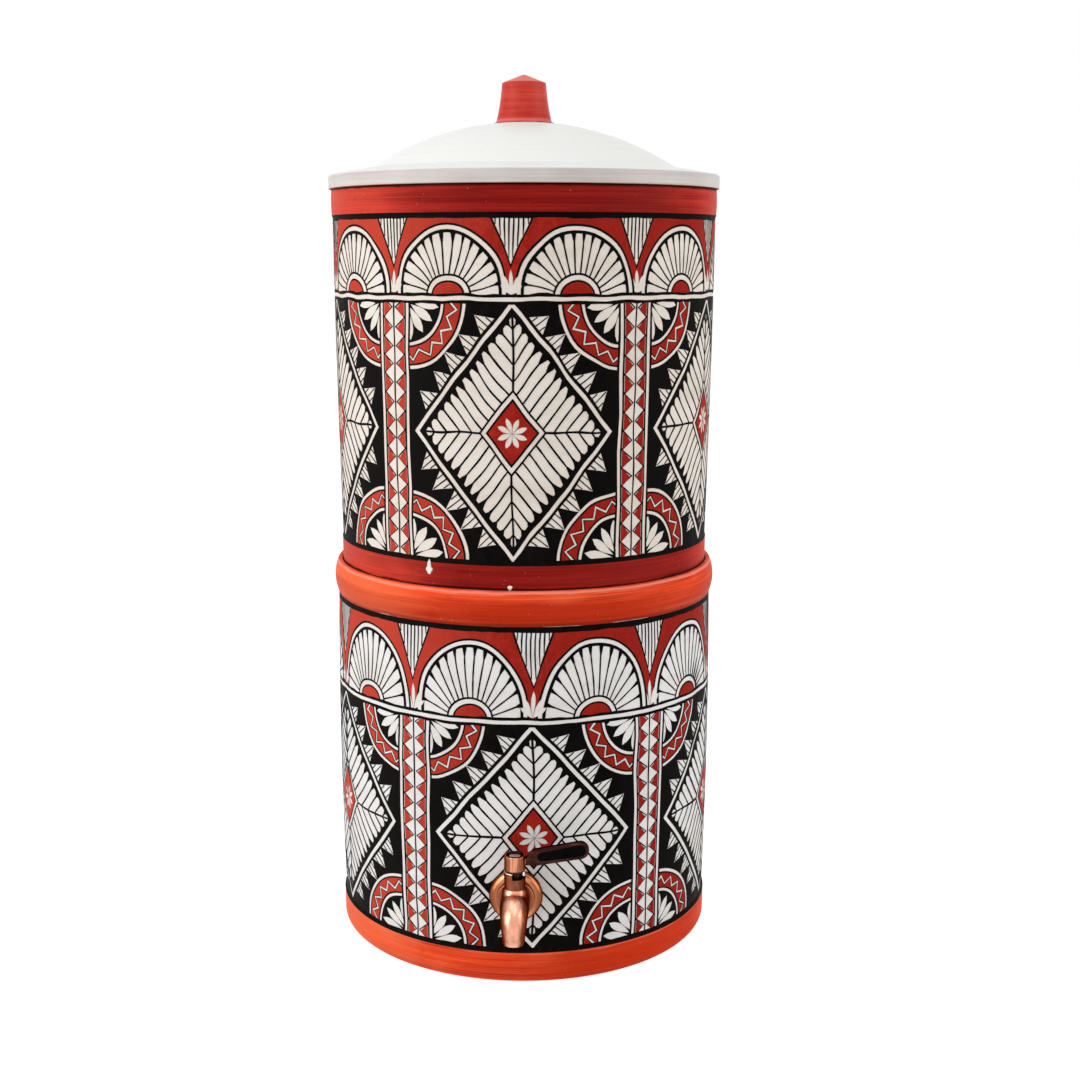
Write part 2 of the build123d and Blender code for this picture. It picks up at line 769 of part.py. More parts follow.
def inlay_form(depth, grow):
    """The inlay's shape on the paddle's front face, as deep as asked and grown all round."""
    start = (paddle_start[0] + inlay_start_setback, paddle_start[1] + inlay_rise())
    end_radius = paddle_end_radius - inlay_border
    outline = tapered_slot(start, inlay_start_radius + grow, paddle_end, end_radius + grow)
    face = Plane.XZ * outline
    recess_floor = -lever_thickness / 2 + inlay_recess_depth
    return Pos(0, recess_floor, 0) * extrude(face, depth)


def inlay_rise():
    """How far the paddle's middle line climbs over the inlay's setback."""
    slope = (paddle_end[1] - paddle_start[1]) / (paddle_end[0] - paddle_start[0])
    return inlay_start_setback * slope


def lever_inlay():
    """Long insert that lies on the floor of the paddle's recess."""
    return stem_axis * Pos(0, 0, hub_bottom) * inlay_form(inlay_thickness, 0)


def lever_screw():
    """Slotted screw that holds the hub on the stem."""
    head_base = hub_bottom + hub_height - hub_recess_depth
    head = rod(screw_head_radius, head_base, head_base + screw_head_thickness)
    slot = Pos(0, 0, head_base + screw_head_thickness) * Box(
        2 * screw_head_radius, screw_slot_width, 2 * screw_slot_depth
    )
    shank = rod(screw_radius, head_base - screw_length, head_base)
    return stem_axis * (head - slot + shank)


def dust_washer():
    """Thin ring under the hub, pierced for the stop pin."""
    inner = stem_radius + slip_fit
    washer = ring(dust_washer_radius, inner, hub_bottom - dust_washer_thickness, hub_bottom)
    hole = Pos(pin_circle_radius, 0, hub_bottom) * Cylinder(pin_radius + running_fit, 2 * overrun)
    open_side = dust_washer_radius - pin_circle_radius + overrun
    slit = Pos(pin_circle_radius + open_side / 2, 0, hub_bottom) * Box(
        open_side, 2 * (pin_radius + running_fit), 2 * overrun
    )
    return stem_axis * (washer - hole - slit)


def stop_pin():
    """Pin in the hub that runs in the bonnet's notch."""
    pin = rod(pin_radius, bonnet_top - pin_reach, hub_bottom + pin_grip)
    return stem_axis * Pos(pin_circle_radius, 0, 0) * pin


# Filter candle and its fixing


def filter_candle():
    """Domed hollow candle, open below, standing in its cup."""
    foot = cup_base + cup_floor
    top = foot + candle_height
    outside = make_face(
        Polyline((0, foot), (candle_radius, foot), (candle_radius, top), (0, top), close=True)
    )
    outside = rounded(outside, (candle_radius, top), candle_top_rounding)
    inner_radius = candle_radius - candle_wall
    inner_top = top - candle_wall
    inside = make_face(
        Polyline((0, foot), (inner_radius, foot), (inner_radius, inner_top), (0, inner_top), close=True)
    )
    inside = rounded(inside, (inner_radius, inner_top), candle_top_rounding - candle_wall)
    return turned(outside) - turned(inside)


def candle_base():
    """Cup that the candle is bonded into, with the hollow threaded stem below it."""
    cup = rod(cup_radius, cup_base, cup_base + cup_height)
    cup = fillet(cup.edges().filter_by(GeomType.CIRCLE).sort_by(Axis.Z)[0], cup_rounding)
    socket = rod(candle_radius + slip_fit, cup_base + cup_floor, cup_base + cup_height + overrun)
    stem_end = cup_base - candle_stem_length
    stem = rod(candle_stem_radius, stem_end, cup_base + cup_floor)
    bore = rod(candle_bore_radius, stem_end - overrun, cup_base + cup_floor + overrun)
    return cup - socket + stem - bore


def candle_washer(bottom):
    """Soft washer round the candle's stem."""
    top = bottom + candle_washer_thickness
    return ring(candle_washer_radius, candle_stem_radius + slip_fit, bottom, top)


def wing_nut():
    """Round hub with two upright wings, screwed up under the floor."""
    bottom = nut_top - wing_hub_height
    hub = rod(wing_hub_radius, bottom, nut_top)
    wings = make_face(
        Polyline(
            (-wing_span, nut_top - wing_height),
            (wing_span, nut_top - wing_height),
            (wing_span, nut_top - slip_fit),
            (-wing_span, nut_top - slip_fit),
            close=True,
        )
    )
    for corner in ((-wing_span, nut_top - wing_height), (wing_span, nut_top - wing_height)):
        wings = rounded(wings, corner, wing_rounding)
    plate = extrude(Plane.XZ * wings, wing_thickness / 2, both=True)
    bore = rod(candle_stem_radius + slip_fit, bottom - wing_height, nut_top + overrun)
    return hub + plate - bore


pieces = {
    "lower_jar": lower_jar(),
    "upper_jar": upper_jar(),
    "lid": lid(),
    "lid_knob": lid_knob(),
    "tap_flange": tap_flange(),
    "outer_washer": outer_washer(),
    "inner_washer": inner_washer(),
    "back_nut": back_nut(),
    "tap_body": tap_body(),
    "tap_bonnet": tap_bonnet(),
    "valve_ball": valve_ball(),
    "front_seat": valve_seat(1),
    "rear_seat": valve_seat(-1),
    "seat_retainer": seat_retainer(),
    "valve_stem": valve_stem(),
    "stem_o_rings": stem_o_rings(),
    "dust_washer": dust_washer(),
    "stop_pin": stop_pin(),
    "lever_handle": lever_handle(),
    "lever_inlay": lever_inlay(),
    "lever_screw": lever_screw(),
    "filter_candle": filter_candle(),
    "candle_base": candle_base(),
    "candle_upper_washer": candle_washer(upper_floor_height),
    "candle_lower_washer": candle_washer(nut_top),
    "wing_nut": wing_nut(),
}

os.makedirs("parts", exist_ok=True)
for name, shape in pieces.items():
    export_step(shape, f"parts/{name}.step")
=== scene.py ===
"""Two-tier painted clay water jar with a lever tap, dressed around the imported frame.

The scene is in metres with +Z up, and so are camera, lamps and floor. Sizes of the object are in millimetres,
and MM takes them to metres. The painted sheets are drawn flat in millimetres: x runs round the jar and y up
from the bottom of the painted field.
"""
import math
import random

import bpy
import numpy as np
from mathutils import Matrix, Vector, geometry


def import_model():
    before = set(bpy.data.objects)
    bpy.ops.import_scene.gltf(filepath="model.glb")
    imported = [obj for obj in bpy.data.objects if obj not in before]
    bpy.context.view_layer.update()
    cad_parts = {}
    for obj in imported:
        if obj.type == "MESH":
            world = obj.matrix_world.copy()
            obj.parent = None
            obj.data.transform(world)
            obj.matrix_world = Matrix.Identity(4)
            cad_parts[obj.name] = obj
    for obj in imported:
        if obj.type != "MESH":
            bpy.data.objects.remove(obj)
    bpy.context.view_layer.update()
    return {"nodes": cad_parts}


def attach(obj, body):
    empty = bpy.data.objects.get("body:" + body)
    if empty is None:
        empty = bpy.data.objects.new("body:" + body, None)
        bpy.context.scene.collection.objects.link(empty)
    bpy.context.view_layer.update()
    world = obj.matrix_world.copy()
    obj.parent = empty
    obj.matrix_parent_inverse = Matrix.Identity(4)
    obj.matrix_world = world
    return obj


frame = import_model()
nodes = frame["nodes"]

MM = 0.001

# Camera, fitted to the ellipses of the bands in the photograph
camera_azimuth = math.radians(2.3)
camera_distance = 1.1425
camera_height = 0.4877
camera_pitch = math.radians(10.295)
camera_lens = 53.39
camera_sensor = 36.0
camera_shift = 0.0148

# Lamps: name, place, what it points at, width, height and power
LAMPS = (
    ("left_box", (-1.5, -0.9, 0.75), (0, 0, 0.32), 1.3, 2.0, 27.0),
    ("right_box", (1.6, -0.5, 0.6), (0, 0, 0.3), 1.1, 1.8, 19.0),
    ("top_box", (-0.2, -0.5, 1.9), (0, 0, 0.45), 1.8, 1.4, 11.0),
)
SKY_LIGHT = 0.34
FLOOR_RADIUS = 6.0
FLOOR_HEIGHT = -0.0002  # just under the jar, so that the two don't share a face
FLOOR_GREY = (0.86, 0.86, 0.86, 1)
# Glow that brings the floor to white for the camera, and to a paler grey in metal
FLOOR_GLOW = (("Is Camera Ray", 0.74), ("Is Glossy Ray", 0.34), ("Is Transmission Ray", 0.34))

# Walls as (radius, height), the same as the solids' profiles, and the edges of the bands beside them
UPPER_WALL = ((129.7, 288.2), (132.0, 412.0), (132.8, 508.8))
LOWER_WALL = ((132.4, 24.0), (134.5, 165.0), (133.6, 247.0))
UPPER_FOOT_EDGE = (130.3, 286.6)
UPPER_BAND_EDGE = (133.5, 510.4)
LOWER_FOOT_EDGE = (133.7, 22.4)

# How far the red coats reach over the painted field, and half the width of a painted edge
BAND_LAP = 0.8
RIM_LAP = 0.2
PAINT_EDGE = 0.12
# Height below which and radius inside which a jar is bare clay
UPPER_RAW = (262.6, 124.5)
LOWER_RAW = (0.5, 129.0)

# Painted sheets
TILES = 5  # times that a sheet's drawing goes round the jar
SHEET_RADIUS = 133.0  # radius at which the drawing keeps its scale
TILE_WIDTH = 2 * math.pi * SHEET_RADIUS / TILES
COLUMNS = 28  # upright divisions of a tile, so that the film follows the round wall
ROW_STEP = 24.0
ROW_END = 1.6
UPPER_SPLIT = 170.4  # height of the double line above the bottom of the field
LOWER_SPLIT = 161.0
UPPER_PHASE = math.radians(-37.0)  # where the first tile starts, from the tap's side
LOWER_PHASE = math.radians(-31.0)
FILM_TOP = 0.14  # paint stands this far out of the wall
FILM_FOOT = -0.12

# Sides painted lighter and darker for light and shade: degrees to the right of the tap, how far out that way
# it starts and is full
FILM_PAINTED_LIGHT = (-62, 70, 125)
FILM_PAINTED_SHADE = (50, 70, 125)
# The same for a jar's band and foot painted darker as shade and its side painted paler as light, and the
# height at which the painted shade ends
UPPER_SIDE_LIGHT = ((14, 82, 122), (20, 70, 105), (-75, 90, 130), 600.0)
LOWER_SIDE_LIGHT = ((12, 104, 130), (40, 103, 122), (-62, 108, 132), 261.5)

# Height and radius of the painted shadow in the joint under the lid, and heights of the lid's rim, the knob
# and the tap's barrel
UPPER_LID_SHADOW = (525.9, 132.6)
LID_RIM_TOP = 537.75
KNOB_FOOT = 574.1
KNOB_CONE = 600.2
BARREL_TOP = 87.2
STEM_AXIS = (0.0, -149.4646, 0.0)
# The bead in the knob's joint: radius and height of its middle, and half its thickness
KNOB_JOINT = (20.55, 572.95, 0.42)

# White drops on the upper foot: angle from the tap's side in degrees, height, half width, tail, thickness
DRIPS = ((-26.1, 281.0, 2.5, 5.6, 0.7), (-1.7, 272.2, 1.6, 0.3, 0.5), (118.0, 279.0, 1.5, 2.0, 0.5))

# Linear colours of brushed coats: dark, middle and light, and the tone of the painted shade on a darker side
# where there is one
UPPER_REDS = ((0.26, 0.011, 0.0085), (0.48, 0.0265, 0.016), (0.62, 0.07, 0.042), (0.142, 0.0046, 0.0046))
LOWER_REDS = ((0.46, 0.032, 0.012), (0.74, 0.06, 0.015), (0.86, 0.165, 0.065), (0.49, 0.027, 0.006))
KNOB_REDS = ((0.33, 0.016, 0.011), (0.51, 0.036, 0.022), (0.68, 0.1, 0.072))
# Painted highlight on the knob's cone and foot
KNOB_HIGHLIGHT = (0.74, 0.155, 0.135)
# Linear colours of small strokes: full, worn and thin, the thin one also painted on one side of the jar as
# light
LINE_REDS = ((0.26, 0.013, 0.008), (0.36, 0.021, 0.0125), (0.5, 0.055, 0.032))
LINE_BLACKS = ((0.0028, 0.0024, 0.0022), (0.0064, 0.0054, 0.005), (0.0064, 0.0054, 0.005))

# Linear colours of grounds, marks, painted highlights and shadows, and bare clay
CREAM = ((0.72, 0.655, 0.595), (0.62, 0.55, 0.465))
CHALK = ((0.73, 0.71, 0.695), (0.63, 0.6, 0.56))
SPECK = (0.6, 0.24, 0.17)
# Painted shadow, under the lid's overhang and in the joint above the lower rim
RED_PAINTED_SHADOW = (0.03, 0.0045, 0.004)
# Painted highlight on the lower rim's top, painted shade on its lower part and painted shadow under it, then
# painted shadow under the foot and painted highlight on its top
RIM_PAINTED_HIGHLIGHT = (0.9, 0.27, 0.18)
RIM_PAINTED_SHADE = (0.3, 0.014, 0.004)
RIM_PAINTED_SHADOW = (0.13, 0.011, 0.006)
FOOT_PAINTED_HIGHLIGHT = (0.86, 0.2, 0.12)
FOOT_PAINTED_SHADOW = (0.22, 0.03, 0.014)
RAW_CLAY = (0.46, 0.165, 0.075)
RAW_CLAY_DARK = (0.3, 0.095, 0.042)
RAW_CLAY_DUST = (0.62, 0.3, 0.17)
CLAY_ROUGHNESS = 0.88
LID_WHITE = (0.78, 0.79, 0.765)
LID_CLOUD = (0.78, 0.775, 0.74)
LID_THIN = (0.7, 0.66, 0.61)
LID_SPECK = (0.6, 0.42, 0.33)
# Thinner wash on the lid's rim, its darker tone partly painted shade
RIM_WASH_AND_SHADE = (0.5, 0.455, 0.43)
RIM_WASH_AND_SHADE_LIGHT = (0.61, 0.585, 0.555)
RIM_WASH_AND_SHADE_THIN = (0.45, 0.38, 0.35)

# Painted highlights and shadows all round a jar's bands: from and up to these heights, how soft, tone and
# share
# Painted shadow in the joint above the lower jar's rim
UPPER_PAINTED_LIGHT = ((269.6, 271.8, 0.35, RED_PAINTED_SHADOW, 0.92),)
LOWER_PAINTED_LIGHT = (
    (-5.0, 1.5, 0.5, FOOT_PAINTED_SHADOW, 0.55),
    (21.6, 23.4, 0.4, FOOT_PAINTED_HIGHLIGHT, 0.5),
    (245.0, 249.3, 0.9, RIM_PAINTED_SHADOW, 0.6),
    (249.3, 262.0, 1.2, RIM_PAINTED_SHADE, 0.36),
    (268.5, 270.2, 0.5, RIM_PAINTED_HIGHLIGHT, 0.66),
)

# Linear colours of the tap
COPPER_TONE = (0.82, 0.39, 0.27)
# Painted shade: copper darker on the tap's sides, near the jar's wall and on the flange's sides
COPPER_SIDE_SHADE = (0.15, 0.042, 0.019)
COPPER_PAINTED_SHADE = (0.3, 0.1, 0.052)
COPPER_TARNISH = (0.24, 0.078, 0.038)
FLANGE_TONE = (0.66, 0.25, 0.125)
FLANGE_PAINTED_SHADE = (0.24, 0.078, 0.03)
# Painted shade: the barrel darker as in the hub's shade, darker still on its sides and near-black inside the
# notch
BARREL_SHADE_TONE = (0.255, 0.083, 0.043)
BARREL_SIDE_SHADE = (0.105, 0.03, 0.015)
BARREL_TARNISH = (0.1, 0.032, 0.018)
BARREL_EDGE = (0.8, 0.5, 0.38)
BARREL_INSIDE_SHADE = (0.012, 0.006, 0.005)
HUB_TONE = (0.7, 0.285, 0.165)
# Painted shade in the hub's hollow round the stem
HUB_INSIDE_SHADE = (0.03, 0.016, 0.012)
ARM_DARK = (0.026, 0.0085, 0.0068)
ARM_WORN = (0.046, 0.0165, 0.0125)
ARM_LIGHT = (0.17, 0.065, 0.045)
# The stem's near-black tone is painted shade for the bonnet's notch
STEM_SHADE_TONE = (0.03, 0.018, 0.013)
STEM_WORN = (0.06, 0.036, 0.026)
STEEL_TONE = (0.86, 0.84, 0.82)
STEEL_WORN = (0.6, 0.57, 0.55)
METAL_EDGE = (0.45, 0.26, 0.18)  # tone of plated metal seen at a low angle
METAL_RELIEF = 0.01 * MM


# Materials


def triple(value):
    """The value itself if it has three parts, or else the same along x, y and z."""
    return value if isinstance(value, tuple) else (value,) * 3


class Shader:
    """Nodes of a material or world. Places are read from the object, so they move with it."""

    def __init__(self, name, owners=bpy.data.materials, surface="Principled BSDF", **constants):
        self.owner = owners.new(name)
        self.owner.use_nodes = True
        self.tree = self.owner.node_tree
        self.surface = self.tree.nodes[surface]
        self.place = self.add("TexCoord")["Object"]
        for socket, value in constants.items():
            self.surface.inputs[socket.replace("_", " ")].default_value = value

    def add(self, kind, inputs=None, **settings):
        """Outputs of a new shader node with these settings, its inputs set or linked."""
        node = self.tree.nodes.new("ShaderNode" + kind)
        for key, value in settings.items():
            setattr(node, key, value)
        for key, value in (inputs or {}).items():
            self.feed(node.inputs[key], value)
        return node.outputs

    def feed(self, socket, value):
        """Links a socket to another one, or sets its constant."""
        if isinstance(value, bpy.types.NodeSocket):
            self.tree.links.new(value, socket)
        elif socket.type == "RGBA" and len(value) == 3:
            socket.default_value = (*value, 1.0)
        else:
            socket.default_value = value

    def noise(self, scale, detail=3.0, roughness=0.55, distortion=0.0, shift=0.0):
        """Noise whose grain is one over scale, in metres, along x, y and z."""
        spread = self.add("Mapping", {0: self.place, "Scale": triple(scale), "Location": triple(shift)})
        inputs = {"Vector": spread[0], "Scale": 1.0, "Detail": detail}
        inputs |= {"Roughness": roughness, "Distortion": distortion}
        return self.add("TexNoise", inputs)[0]

    def math(self, operation, a, b=0.0):
        return self.add("Math", {0: a, 1: b}, operation=operation)[0]

    def vector(self, operation, a, b=(0.0, 0.0, 0.0), output="Vector"):
        return self.add("VectorMath", {0: a, 1: b}, operation=operation)[output]

    def times(self, a, b):
        return self.math("MULTIPLY", a, b)

    def part(self, vector, axis):
        return self.add("SeparateXYZ", {0: vector})[axis]

    def along(self, axis):
        """How far a place lies along an axis, in millimetres."""
        return self.times(self.part(self.place, axis), 1 / MM)

    def around(self, centre=(0.0, 0.0, 0.0)):
        """How far a place lies from the upright line through the centre, in millimetres."""
        off = self.vector("SUBTRACT", self.place, tuple(part * MM for part in centre))
        flat = self.vector("MULTIPLY", off, (1.0, 1.0, 0.0))
        return self.times(self.vector("LENGTH", flat, output="Value"), 1 / MM)

    def between(self, value, low, high, to_low=0.0, to_high=1.0):
        """value taken from low and high to to_low and to_high, and held there beyond them."""
        inputs = {"Value": value, "From Min": low, "From Max": high, "To Min": to_low, "To Max": to_high}
        return self.add("MapRange", inputs)[0]

    def over(self, value, limit, soft, most=1.0):
        """Most where value is over the limit and none where it is under it."""
        return self.between(value, limit - soft, limit + soft, 0.0, most)

    def under(self, value, limit, soft, most=1.0):
        """Most where value is under the limit and none where it is over it."""
        return self.between(value, limit - soft, limit + soft, most, 0.0)

    def waver(self, value, noise, reach, low=0.3, high=0.7):
        """value moved by up to reach, down where the noise is low and up where it is high."""
        return self.math("ADD", value, self.between(noise, low, high, -reach, reach))

    def mix(self, share, a, b):
        """A colour between two."""
        return self.add("Mix", {0: share, 6: a, 7: b}, data_type="RGBA")[2]

    def mix_value(self, share, a, b):
        """A number between two."""
        return self.add("Mix", {0: share, 2: a, 3: b}, data_type="FLOAT")[0]

    def cover(self, tone, other, value, low, high, most=1.0):
        """A tone with another over it: none of it where value is low, and most where it is high."""
        return self.mix(self.between(value, low, high, 0.0, most), tone, other)

    def bump(self, height, depth, under=None):
        """Relief of that depth in metres, over the relief before it."""
        inputs = {"Height": height, "Distance": depth, "Strength": 1.0}
        if under is not None:
            inputs["Normal"] = under
        return self.add("Bump", inputs)[0]

    def finish(self, colour, roughness, normal):
        for key, value in (("Base Color", colour), ("Roughness", roughness), ("Normal", normal)):
            self.feed(self.surface.inputs[key], value)
        return self.owner


def brushed_paint(shader, tones, shift):
    """Colour and relief of a coat brushed on the turning jar, in long streaks round it."""
    dark, middle, light = tones
    coarse = shader.noise((5.0, 5.0, 210.0), detail=4.0, roughness=0.62, distortion=0.35, shift=shift)
    fine = shader.noise((9.0, 9.0, 1100.0), detail=2.0, roughness=0.5, shift=shift + 3.1)
    patches = shader.noise((16.0, 16.0, 34.0), shift=shift + 7.7)
    blots = shader.noise((52.0, 52.0, 190.0), detail=5.0, roughness=0.75, shift=shift + 13.0)
    tone = shader.cover(dark, middle, coarse, 0.36, 0.56)
    tone = shader.cover(tone, light, fine, 0.52, 0.74, 0.55)
    tone = shader.cover(tone, light, patches, 0.5, 0.72, 0.45)
    tone = shader.cover(tone, dark, blots, 0.58, 0.7, 0.6)
    return tone, shader.math("ADD", coarse, shader.times(fine, 0.6))


def grain(shader, depth, under):
    """Fine pitting of clay under its paint."""
    swell = shader.bump(shader.noise(55.0, detail=2.0), depth * 6, under)
    return shader.bump(shader.noise(620.0, roughness=0.7), depth, swell)


def bare_clay(shader, shift):
    """Clay with throwing lines and dust."""
    throwing = shader.noise((3.0, 3.0, 330.0), shift=shift + 5.0)
    clay = shader.cover(RAW_CLAY_DARK, RAW_CLAY, throwing, 0.38, 0.66)
    return shader.cover(clay, RAW_CLAY_DUST, shader.noise(300.0, detail=4.0), 0.5, 0.8, 0.5)


def side_light_share(shader, side, most):
    """Share of painted light and shade on one side of the jar, and on the side opposite."""
    degrees, start, full = side
    turn = math.radians(degrees)
    out = (math.sin(turn), -math.cos(turn), 0.0)
    reach = shader.math("ABSOLUTE", shader.vector("DOT_PRODUCT", shader.place, out, "Value"))
    return shader.between(reach, start * MM, full * MM, 0.0, most)


def red_coat(shader, reds, side_light, painted_light, foot, height, shift):
    """Colour and relief of a jar's red bands: painted paler on one side as light and darker on another as
    shade, with painted highlights and shadows all round.
    """
    *tones, shade_tone = reds
    band_shade_side, foot_shade_side, lit_side, shade_top = side_light
    colour, relief = brushed_paint(shader, tones, shift)
    # painted highlight on the paler side, and painted shade on the band's and foot's darker sides up to a
    # height
    colour = shader.mix(side_light_share(shader, lit_side, 0.55), colour, tones[2])
    shade_tone = shader.cover(shade_tone, tones[1], relief, 0.6, 1.0, 0.35)
    shaded = shader.mix_value(foot, side_light_share(shader, band_shade_side, 0.9), side_light_share(shader, foot_shade_side, 0.9))
    uneven = shader.waver(height, relief, 0.7, 0.5, 1.1)
    shaded = shader.times(shaded, shader.under(uneven, shade_top + 1.0, 1.0))
    colour = shader.mix(shaded, colour, shade_tone)
    # painted highlights and shadows in rings round the bands
    for low, high, soft, tone, most in painted_light:
        above, below = shader.over(uneven, low, soft, most), shader.under(uneven, high, soft)
        colour = shader.mix(shader.times(above, below), colour, tone)
    specks = shader.noise((420.0, 420.0, 560.0), detail=1.0, shift=shift + 4.0)
    return shader.cover(colour, SPECK, specks, 0.765, 0.79, 0.5), relief


def jar_material(name, field, raw, ground, reds, side_light, painted_light, shift, lid_shadow=None):
    """Ground colour between the field's heights, red bands beyond them, and bare clay inside and beneath."""
    shader = Shader(name, Specular_IOR_Level=0.02)
    radius = shader.around()
    hand = shader.noise(38.0, detail=2.0, shift=shift)
    height = shader.waver(shader.along("Z"), hand, 0.5)
    foot = shader.under(height, field[0], PAINT_EDGE)
    red = shader.math("MAXIMUM", foot, shader.over(height, field[1], PAINT_EDGE))
    clouds = shader.noise((24.0, 24.0, 60.0), detail=5.0, roughness=0.65, shift=shift + 1.7)
    red_colour, relief = red_coat(shader, reds, side_light, painted_light, foot, height, shift)
    painted = shader.mix(red, shader.cover(*ground, clouds, 0.44, 0.78), red_colour)
    if lid_shadow:
        # painted shadow darkens the band's edge right under the lid's overhang, but not the top that the lid
        # stands on
        lid_shadow_share, outside = shader.between(height, lid_shadow[0], lid_shadow[0] + 1.2), shader.over(radius, lid_shadow[1], 0.2)
        painted = shader.mix(shader.times(lid_shadow_share, outside), painted, RED_PAINTED_SHADOW)

    inside = shader.under(shader.waver(radius, hand, 1.2), raw[1], PAINT_EDGE)
    bare = shader.math("MAXIMUM", inside, shader.under(height, raw[0], PAINT_EDGE))
    colour = shader.mix(bare, painted, bare_clay(shader, shift))
    roughness = shader.mix_value(red, 0.5, shader.between(relief, 0.6, 1.1, 0.36, 0.52))
    roughness = shader.mix_value(bare, roughness, CLAY_ROUGHNESS)
    return shader.finish(colour, roughness, grain(shader, 0.07 * MM, shader.bump(relief, 0.22 * MM)))


def film_material(name, colours, roughness, shift):
    """Paint of the drawn pattern: flat strokes of a small brush, thin in places, and painted lighter on one
    side of the jar and darker on another as light and shade.
    """
    shader = Shader(name, Specular_IOR_Level=0.012)
    full, worn, thin_and_lit = colours
    strokes = shader.noise((150.0, 150.0, 95.0), detail=4.0, roughness=0.6, distortion=0.8, shift=shift)
    hairs = shader.noise((700.0, 700.0, 520.0), detail=2.0, distortion=0.5, shift=shift + 2.0)
    tone = shader.cover(full, worn, strokes, 0.42, 0.66)
    tone = shader.cover(tone, thin_and_lit, hairs, 0.56, 0.8, 0.4)
    # painted light on one side of the jar and painted shade on another
    tone = shader.mix(side_light_share(shader, FILM_PAINTED_LIGHT, 0.85), tone, thin_and_lit)
    tone = shader.mix(side_light_share(shader, FILM_PAINTED_SHADE, 0.6), tone, full)
    spread = shader.between(strokes, 0.35, 0.65, roughness - 0.07, roughness + 0.09)
    return shader.finish(tone, spread, shader.bump(hairs, 0.05 * MM, shader.bump(strokes, 0.16 * MM)))


def lid_material():
    """White brushed paint, with a thinner wash round the rim whose darker tone also stands for the rim's
    shade, and bare clay on the underside.
    """
    shader = Shader("lid_white_paint", Specular_IOR_Level=0.25)
    sweep = shader.noise((7.0, 7.0, 420.0), detail=4.0, roughness=0.6, distortion=0.4)
    cloud = shader.noise(22.0, detail=4.0, roughness=0.6)
    specks = shader.noise(260.0, detail=2.0, shift=(4.0, 1.0, 2.0))
    white = shader.cover(LID_WHITE, LID_CLOUD, cloud, 0.45, 0.75)
    white = shader.cover(white, LID_THIN, sweep, 0.55, 0.8, 0.35)
    white = shader.cover(white, LID_SPECK, specks, 0.72, 0.78, 0.5)
    wash_and_shade = shader.cover(RIM_WASH_AND_SHADE, RIM_WASH_AND_SHADE_LIGHT, sweep, 0.35, 0.68)
    wash_and_shade = shader.cover(wash_and_shade, RIM_WASH_AND_SHADE_THIN, cloud, 0.4, 0.75, 0.5)
    painted = shader.mix(shader.under(shader.along("Z"), LID_RIM_TOP - 0.7, 0.3), white, wash_and_shade)
    facing_up = shader.part(shader.add("NewGeometry")["Normal"], "Z")
    bare = shader.between(facing_up, -0.75, -0.6, 1.0, 0.0)
    clay = shader.cover(RAW_CLAY_DARK, RAW_CLAY, shader.noise(80.0, detail=5.0), 0.35, 0.7)
    roughness = shader.mix_value(bare, shader.between(sweep, 0.3, 0.7, 0.36, 0.5), CLAY_ROUGHNESS)
    relief = grain(shader, 0.06 * MM, shader.bump(sweep, 0.18 * MM))
    return shader.finish(shader.mix(bare, painted, clay), roughness, relief)


def knob_material():
    """Brushed red, with painted highlights on the cone and along the foot."""
    shader = Shader("knob_red_paint", Specular_IOR_Level=0.1)
    tone, relief = brushed_paint(shader, KNOB_REDS, 11.0)
    height = shader.waver(shader.along("Z"), relief, 0.4, 0.5, 1.1)
    cone = shader.over(height, KNOB_CONE, 0.4, 0.75)
    foot = shader.under(height, KNOB_FOOT + 1.5, 0.4, 0.7)
    tone = shader.mix(shader.math("MAXIMUM", cone, foot), tone, KNOB_HIGHLIGHT)
    roughness = shader.between(relief, 0.6, 1.1, 0.3, 0.48)
    return shader.finish(tone, roughness, grain(shader, 0.06 * MM, shader.bump(relief, 0.24 * MM)))


def plating(name, stretch, stain_scale=130.0):
    """A metal shader, with its polishing lines and its stains."""
    shader = Shader(name, Metallic=1.0)
    return shader, shader.noise(stretch, roughness=0.6), shader.noise(stain_scale, detail=4.0, roughness=0.6)


def painted_side_shade(shader, tone, side, stain):
    """Plating painted darker on the tap's two sides as shade and dark reflections, and more on the lever's
    side.
    """
    shader.feed(shader.surface.inputs["Specular Tint"], METAL_EDGE)
    right = shader.part(shader.add("TexCoord")["Normal"], "X")
    aside = shader.math("MAXIMUM", shader.times(right, 1.25), shader.times(right, -1.0))
    return shader.cover(tone, side, shader.waver(aside, stain, 0.08), 0.38, 0.8)


def metal_material(name, colour, tarnish, roughness, stretch, side=None, shade=None):
    """Metal with polishing lines and a little tarnish. side is its painted shade on the tap's two sides, and
    shade is (tone of painted shade, axis, where that starts, where it is full), both ways from the middle."""
    shader, lines, stain = plating(name, stretch)
    if side:
        colour = painted_side_shade(shader, colour, side, stain)
    if shade:
        # painted shade by place, both ways from the middle
        dark, axis, start, full = shade
        reach = shader.waver(shader.math("ABSOLUTE", shader.along(axis)), stain, 0.8)
        colour = shader.cover(colour, dark, reach, start, full)
    tone = shader.cover(colour, tarnish, stain, 0.48, 0.78, 0.75)
    tone = shader.cover(tone, tarnish, lines, 0.5, 0.8, 0.3)
    polish = shader.between(lines, 0.3, 0.7, roughness * 0.8, roughness * 1.2)
    dull = shader.between(stain, 0.5, 0.8, 0.0, 0.08)
    return shader.finish(tone, shader.math("ADD", polish, dull), shader.bump(lines, METAL_RELIEF))


